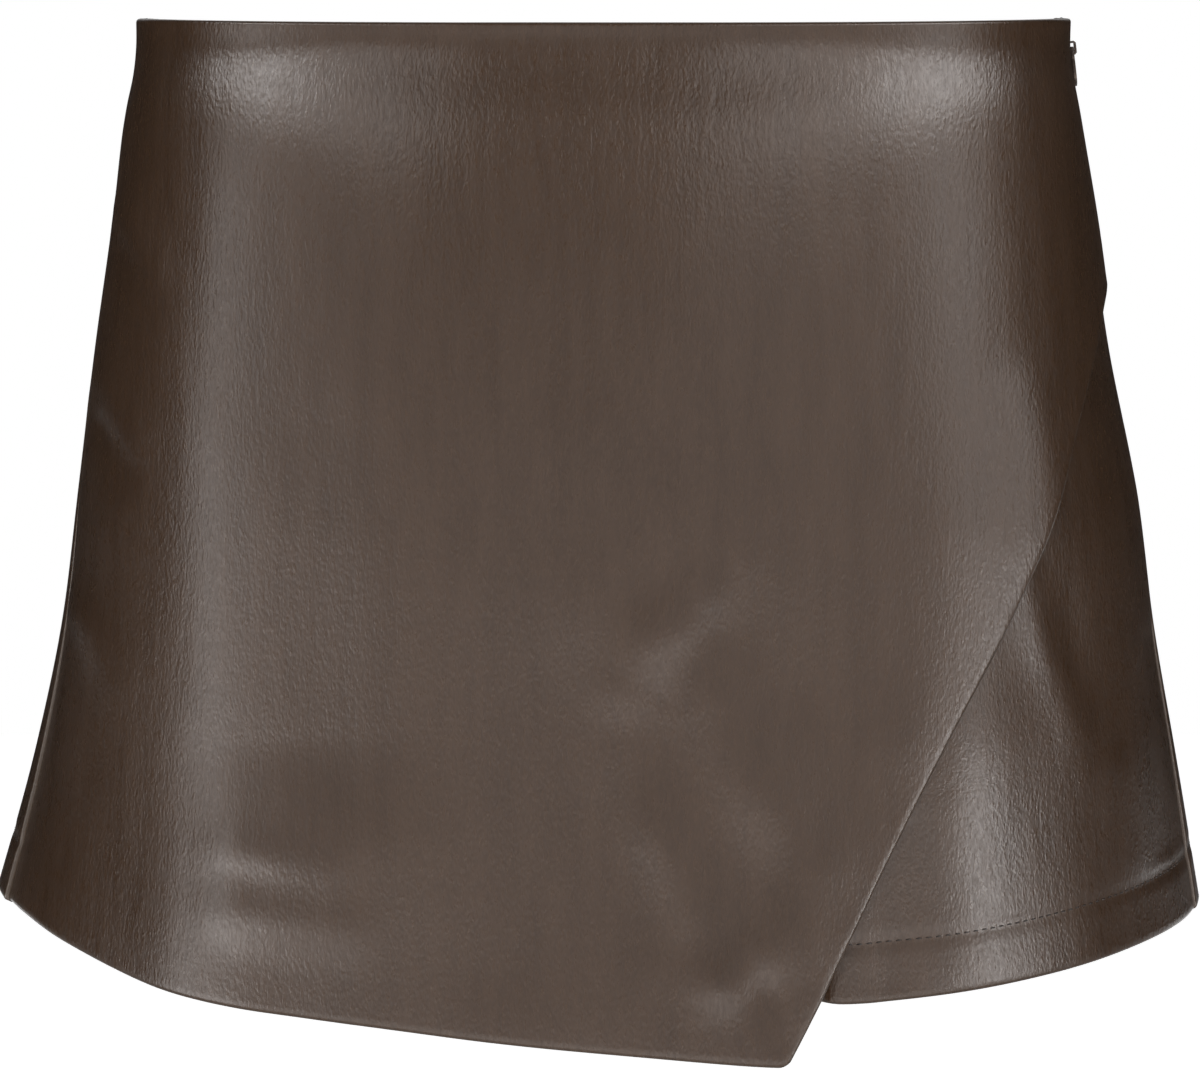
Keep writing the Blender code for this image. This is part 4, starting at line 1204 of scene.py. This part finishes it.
def weave(name, dark, pale):
    """A narrow woven tape: fine ribs along it, crossed by a finer weft."""
    made, tree, shader = new_material(name)
    cloth = add(tree, "ShaderNodeUVMap", uv_map="cloth").outputs["UV"]
    warp, weft = ribs(tree, cloth, "X", 400.0, 0.4), ribs(tree, cloth, "Y", 700.0, 0.6)
    height = math_node(tree, "MULTIPLY_ADD", weft.outputs["Fac"], 0.6, warp.outputs["Fac"])
    tone = math_node(tree, "MULTIPLY", height, 0.6, clamp=True)
    tree.links.new(mixed(tree, tone, dark, pale), shader.inputs["Base Color"])
    shader.inputs["Roughness"].default_value = 0.85
    bumped(tree, shader, height, 0.8, 0.00025)
    return made


TAPE_WEAVE = weave("zip_tape", (0.010, 0.006, 0.005), (0.032, 0.021, 0.016))


def make_tape(face):
    """One tape, just inside the panel on its side of the left seam."""
    places, flat = [], []
    widths = np.linspace(0.0, TAPE_WIDTH, TAPE_COLUMNS)
    for drop in np.linspace(TAPE_TOP, TAPE_BOTTOM, TAPE_ROWS):
        path = half_ring("left", face, float(drop))
        along = lengths_along(path)
        at = half_gap("left", drop) + widths
        point = at_distance(path, along, at)
        step = at_distance(path, along, at + DIRECTION_STEP) - point
        out = np.column_stack([-step[:, 1], step[:, 0]]) / np.linalg.norm(step, axis=1, keepdims=True)
        rise = np.zeros(TAPE_COLUMNS)
        if face == "back":
            out = -out
            rise = layer_rise(widths) * (1 - float(ease(drop, *LAYER_ENDS)))
        point = point + out * (rise - CLOTH - TAPE_GAP)[:, None]
        places.append(hung(point[:, 0], point[:, 1], drop))
        flat.append(np.column_stack([widths, np.full(TAPE_COLUMNS, -drop)]))
    unrubbed = np.zeros((TAPE_ROWS, TAPE_COLUMNS))
    name = f"zip_tape_{face}"
    finishes = (TAPE_WEAVE, TAPE_WEAVE)
    return make_sheet(name + "_weave", np.array(places), np.array(flat), unrubbed, finishes, name)


for face in ("front", "back"):
    tape, _ = make_tape(face)

# %% [markdown]
# The slider and the pull have their whole shape in the solids, so each is a copy of its solid with the sharp
# edges rounded, in worn brown enamel. The pull rides on its own body, so it swings when its joint does.

# %% Slider and pull
ROUNDING = 0.00018
MERGE = 0.00001
FLAT_ANGLE, SHARP_ANGLE = math.radians(2), math.radians(25)


def enamel(name, coat, metal):
    """Thin brown enamel on metal, rubbed through to a paler brown in small spots."""
    made, tree, shader = new_material(name)
    rub = spotted(tree, 900.0, 4.0, 0.6)
    paler_share = math_node(tree, "MULTIPLY_ADD", rub, 3.0, -1.35, clamp=True)
    tree.links.new(mixed(tree, paler_share, coat, metal), shader.inputs["Base Color"])
    shader.inputs["Metallic"].default_value = 0.55
    tree.links.new(math_node(tree, "MULTIPLY_ADD", rub, 0.25, 0.18), shader.inputs["Roughness"])
    bumped(tree, shader, rub, 0.25, 0.00005)
    return made


ZIP_ENAMEL = enamel("zip_metal", (0.040, 0.026, 0.019), (0.16, 0.12, 0.095))


def rounded_copy(node, name, body):
    """A solid's own shape with its loose triangles merged and its sharp edges rounded."""
    bm = bmesh.new()
    bm.from_mesh(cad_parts[node].data)
    bmesh.ops.remove_doubles(bm, verts=bm.verts, dist=MERGE)
    bmesh.ops.dissolve_limit(bm, angle_limit=FLAT_ANGLE, verts=bm.verts, edges=bm.edges)
    sharp = [edge for edge in bm.edges if len(edge.link_faces) == 2 and edge.calc_face_angle() > SHARP_ANGLE]
    bmesh.ops.bevel(
        bm, geom=sharp, offset=ROUNDING, offset_type="OFFSET", segments=2, profile=0.5, affect="EDGES",
        clamp_overlap=True, material=-1,
    )
    bmesh.ops.triangulate(bm, faces=bm.faces)
    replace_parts(trim_piece(name, bm, ZIP_ENAMEL, body), node)


rounded_copy("zip_slider", "slider_shape", "skort")
rounded_copy("zip_pull", "pull_shape", "zip_pull")

# %% [markdown]
# ## The camera
# The skort is seen from the front, from the height of its waist, a little more than a metre away, so the
# camera looks down at it by about seven degrees and the waist opening stays closed to view.

# %% Camera
camera_data = bpy.data.cameras.new("camera")
camera_data.lens = 124.86
camera_data.sensor_width = 36.0
camera_data.clip_start, camera_data.clip_end = 0.05, 30.0
camera = placed("camera", camera_data)
camera.location = (-0.0006, -1.3, 0.0)
camera.rotation_euler = (math.radians(90 - 7.13), 0.0, 0.0)
bpy.context.scene.camera = camera
print("camera:", round(camera_data.lens, 2), "mm lens,", round(-camera.location.y, 2), "m before the skort")

# %% [markdown]
# ## Floor and light
# A pale floor lies well below. A faint veil of light in front is mirrored by the whole coating, and lamps at
# both sides draw the long bright lines down the hips. The floor sends up light in front of the skort and
# behind it, which only the coating mirrors.

# %% Floor
FLOOR_DROP, FLOOR_RADIUS = 1.25, 6.0
FLOOR_SHOWN = 0.9


def between(tree, value, rise=None, fall=None):
    """A soft window on a value: 0, rising to 1 over one stretch and falling to 0 again over another."""
    product = None
    for stretch, start, end in ((rise, 0.0, 1.0), (fall, 1.0, 0.0)):
        if stretch is None:
            continue
        node = add(tree, "ShaderNodeMapRange", interpolation_type="SMOOTHSTEP")
        tree.links.new(value, node.inputs["Value"])
        node.inputs["From Min"].default_value, node.inputs["From Max"].default_value = stretch
        node.inputs["To Min"].default_value, node.inputs["To Max"].default_value = start, end
        made = node.outputs["Result"]
        product = made if product is None else math_node(tree, "MULTIPLY", product, made)
    return product


def seen_directly(tree):
    """The light path, and whether a ray comes straight from the camera or through glass."""
    ray = add(tree, "ShaderNodeLightPath").outputs
    return ray, math_node(tree, "ADD", ray["Is Camera Ray"], ray["Is Transmission Ray"], clamp=True)


floor_mesh = bpy.data.meshes.new("floor")
bm = bmesh.new()
bmesh.ops.create_circle(bm, cap_ends=True, segments=96, radius=FLOOR_RADIUS)
bm.to_mesh(floor_mesh)
bm.free()
floor = placed("floor", floor_mesh)
floor.location = (0, 0, -FLOOR_DROP)
paint, tree, shader = new_material("floor_paint")
shader.inputs["Base Color"].default_value = (0.82, 0.82, 0.82, 1)
shader.inputs["Roughness"].default_value = 0.9
ray, direct = seen_directly(tree)
spot = add(tree, "ShaderNodeTexCoord")
spot_parts = add(tree, "ShaderNodeSeparateXYZ")
tree.links.new(spot.outputs["Object"], spot_parts.inputs[0])
in_front = between(tree, spot_parts.outputs["Y"], fall=(-3.0, 0.0))
behind = between(tree, spot_parts.outputs["Y"], rise=(1.0, 2.0), fall=(3.6, 4.6))
mirrored = math_node(tree, "MULTIPLY_ADD", in_front, 2.2, 0.04)
mirrored = math_node(tree, "MULTIPLY_ADD", behind, 1.1, mirrored)
glow = math_node(tree, "MULTIPLY", ray["Is Glossy Ray"], mirrored)
glow = math_node(tree, "MULTIPLY_ADD", direct, FLOOR_SHOWN, glow)
shader.inputs["Emission Color"].default_value = (1, 1, 1, 1)
tree.links.new(glow, shader.inputs["Emission Strength"])
floor_mesh.materials.append(paint)
print("floor:", FLOOR_DROP, "m below the waist")

# %% [markdown]
# The world is a pale veil in front and behind, dark at the sides and overhead. It is worked out from two
# angles of the view's direction: `turn`, nought straight ahead of the skort and growing toward its left, and
# `height`, above the horizon. The camera itself sees plain white.

# %% Light
VEIL_RADIANCE = 0.86
DIM_RADIANCE = 0.012
world = bpy.data.worlds.new("studio")
bpy.context.scene.world = world
world.use_nodes = True
tree = world.node_tree
background = tree.nodes["Background"]
background.inputs["Color"].default_value = (1, 1, 1, 1)
toward = add(tree, "ShaderNodeTexCoord")
parts = add(tree, "ShaderNodeSeparateXYZ")
tree.links.new(toward.outputs["Generated"], parts.inputs[0])
away = math_node(tree, "MULTIPLY", parts.outputs["Y"], -1.0)
turn = math_node(tree, "MULTIPLY", math_node(tree, "ARCTAN2", parts.outputs["X"], away), 180 / math.pi)
height = math_node(tree, "MULTIPLY", math_node(tree, "ARCSINE", parts.outputs["Z"]), 180 / math.pi)
low_front = between(tree, height, fall=(12, 26))
veil = math_node(tree, "MULTIPLY", between(tree, turn, rise=(-87, -60), fall=(58, 88)), low_front)
high_front = between(tree, height, rise=(3, 16))
gap = math_node(tree, "MULTIPLY", between(tree, turn, rise=(-28, -14), fall=(3, 10)), high_front)
veil = math_node(tree, "MULTIPLY", veil, math_node(tree, "MULTIPLY_ADD", gap, -0.7, 1.0))
at_the_back = between(tree, math_node(tree, "ABSOLUTE", turn), rise=(150, 168))
back_veil = math_node(tree, "MULTIPLY", at_the_back, between(tree, height, rise=(2, 14)))
total = math_node(tree, "MULTIPLY_ADD", math_node(tree, "ADD", veil, back_veil), VEIL_RADIANCE, DIM_RADIANCE)
shown = add(tree, "ShaderNodeMix", data_type="FLOAT")
tree.links.new(seen_directly(tree)[1], shown.inputs[0])
tree.links.new(total, shown.inputs[2])
shown.inputs[3].default_value = 1.0
tree.links.new(shown.outputs[0], background.inputs["Strength"])
print("world:", len(tree.nodes), "nodes")

# %% [markdown]
# The lamps are soft boxes on a sphere round the skort, each given by the angles that it covers. The coating
# mirrors most of them and takes no other light from them; the two fills do the reverse.

# %% Lamps
LAMP_DISTANCE = 3.0
SKORT_MIDDLE = Vector((0.0, 0.0, -0.14))


def soft_box(name, turn, height, radiance, matt=False):
    """A rectangular lamp over a range of directions in degrees, for mirrored light or for matt light."""
    turn_middle, height_middle = math.radians(sum(turn) / 2), math.radians(sum(height) / 2)
    reach = LAMP_DISTANCE * math.cos(height_middle)
    place = SKORT_MIDDLE + Vector((
        reach * math.sin(turn_middle), -reach * math.cos(turn_middle), LAMP_DISTANCE * math.sin(height_middle)
    ))
    lamp = bpy.data.lights.new(name, "AREA")
    lamp.shape = "RECTANGLE"
    lamp.size = 2 * reach * math.tan(math.radians(turn[1] - turn[0]) / 2)
    lamp.size_y = 2 * LAMP_DISTANCE * math.tan(math.radians(height[1] - height[0]) / 2)
    lamp.energy = radiance * math.pi * lamp.size * lamp.size_y
    made = placed(name, lamp)
    made.location = place
    made.rotation_euler = (SKORT_MIDDLE - place).to_track_quat("-Z", "Y").to_euler()
    made.visible_camera = False
    made.visible_diffuse = matt
    made.visible_glossy = not matt
    print(name, "covers", turn, height, "degrees")


MIRRORED_LAMPS = [
    # name, turn and height in degrees, radiance
    ("right_hip_box", (-90, -54), (31, 44), 8.8),
    ("right_high_box", (-50, -18), (25, 48), 2.4),
    ("left_hip_box", (47, 90), (28, 47), 7.6),
    ("left_high_box", (10, 44), (24, 48), 2.7),
    ("right_strip", (-78, -61), (2, 22), 2.4),
    ("right_low_strip", (-77, -59), (-9, 2), 2.6),
    ("right_floor_strip", (-80, -40), (-22, -8), 4.6),
    ("left_strip", (54, 73), (7, 22), 2.5),
    ("left_low_strip", (56, 70), (-14, 0), 5.0),
    ("left_floor_strip", (49, 70), (-22, -9), 5.0),
]
for lamp_row in MIRRORED_LAMPS:
    soft_box(*lamp_row)
soft_box("front_fill", (-20, 20), (0, 30), 3.15, matt=True)
soft_box("back_fill", (155, 205), (0, 40), 3.0, matt=True)

# %% [markdown]
# Last, the scene's colours are shown through the plain Standard view transform.

# %% View transform
bpy.context.scene.view_settings.view_transform = "Standard"
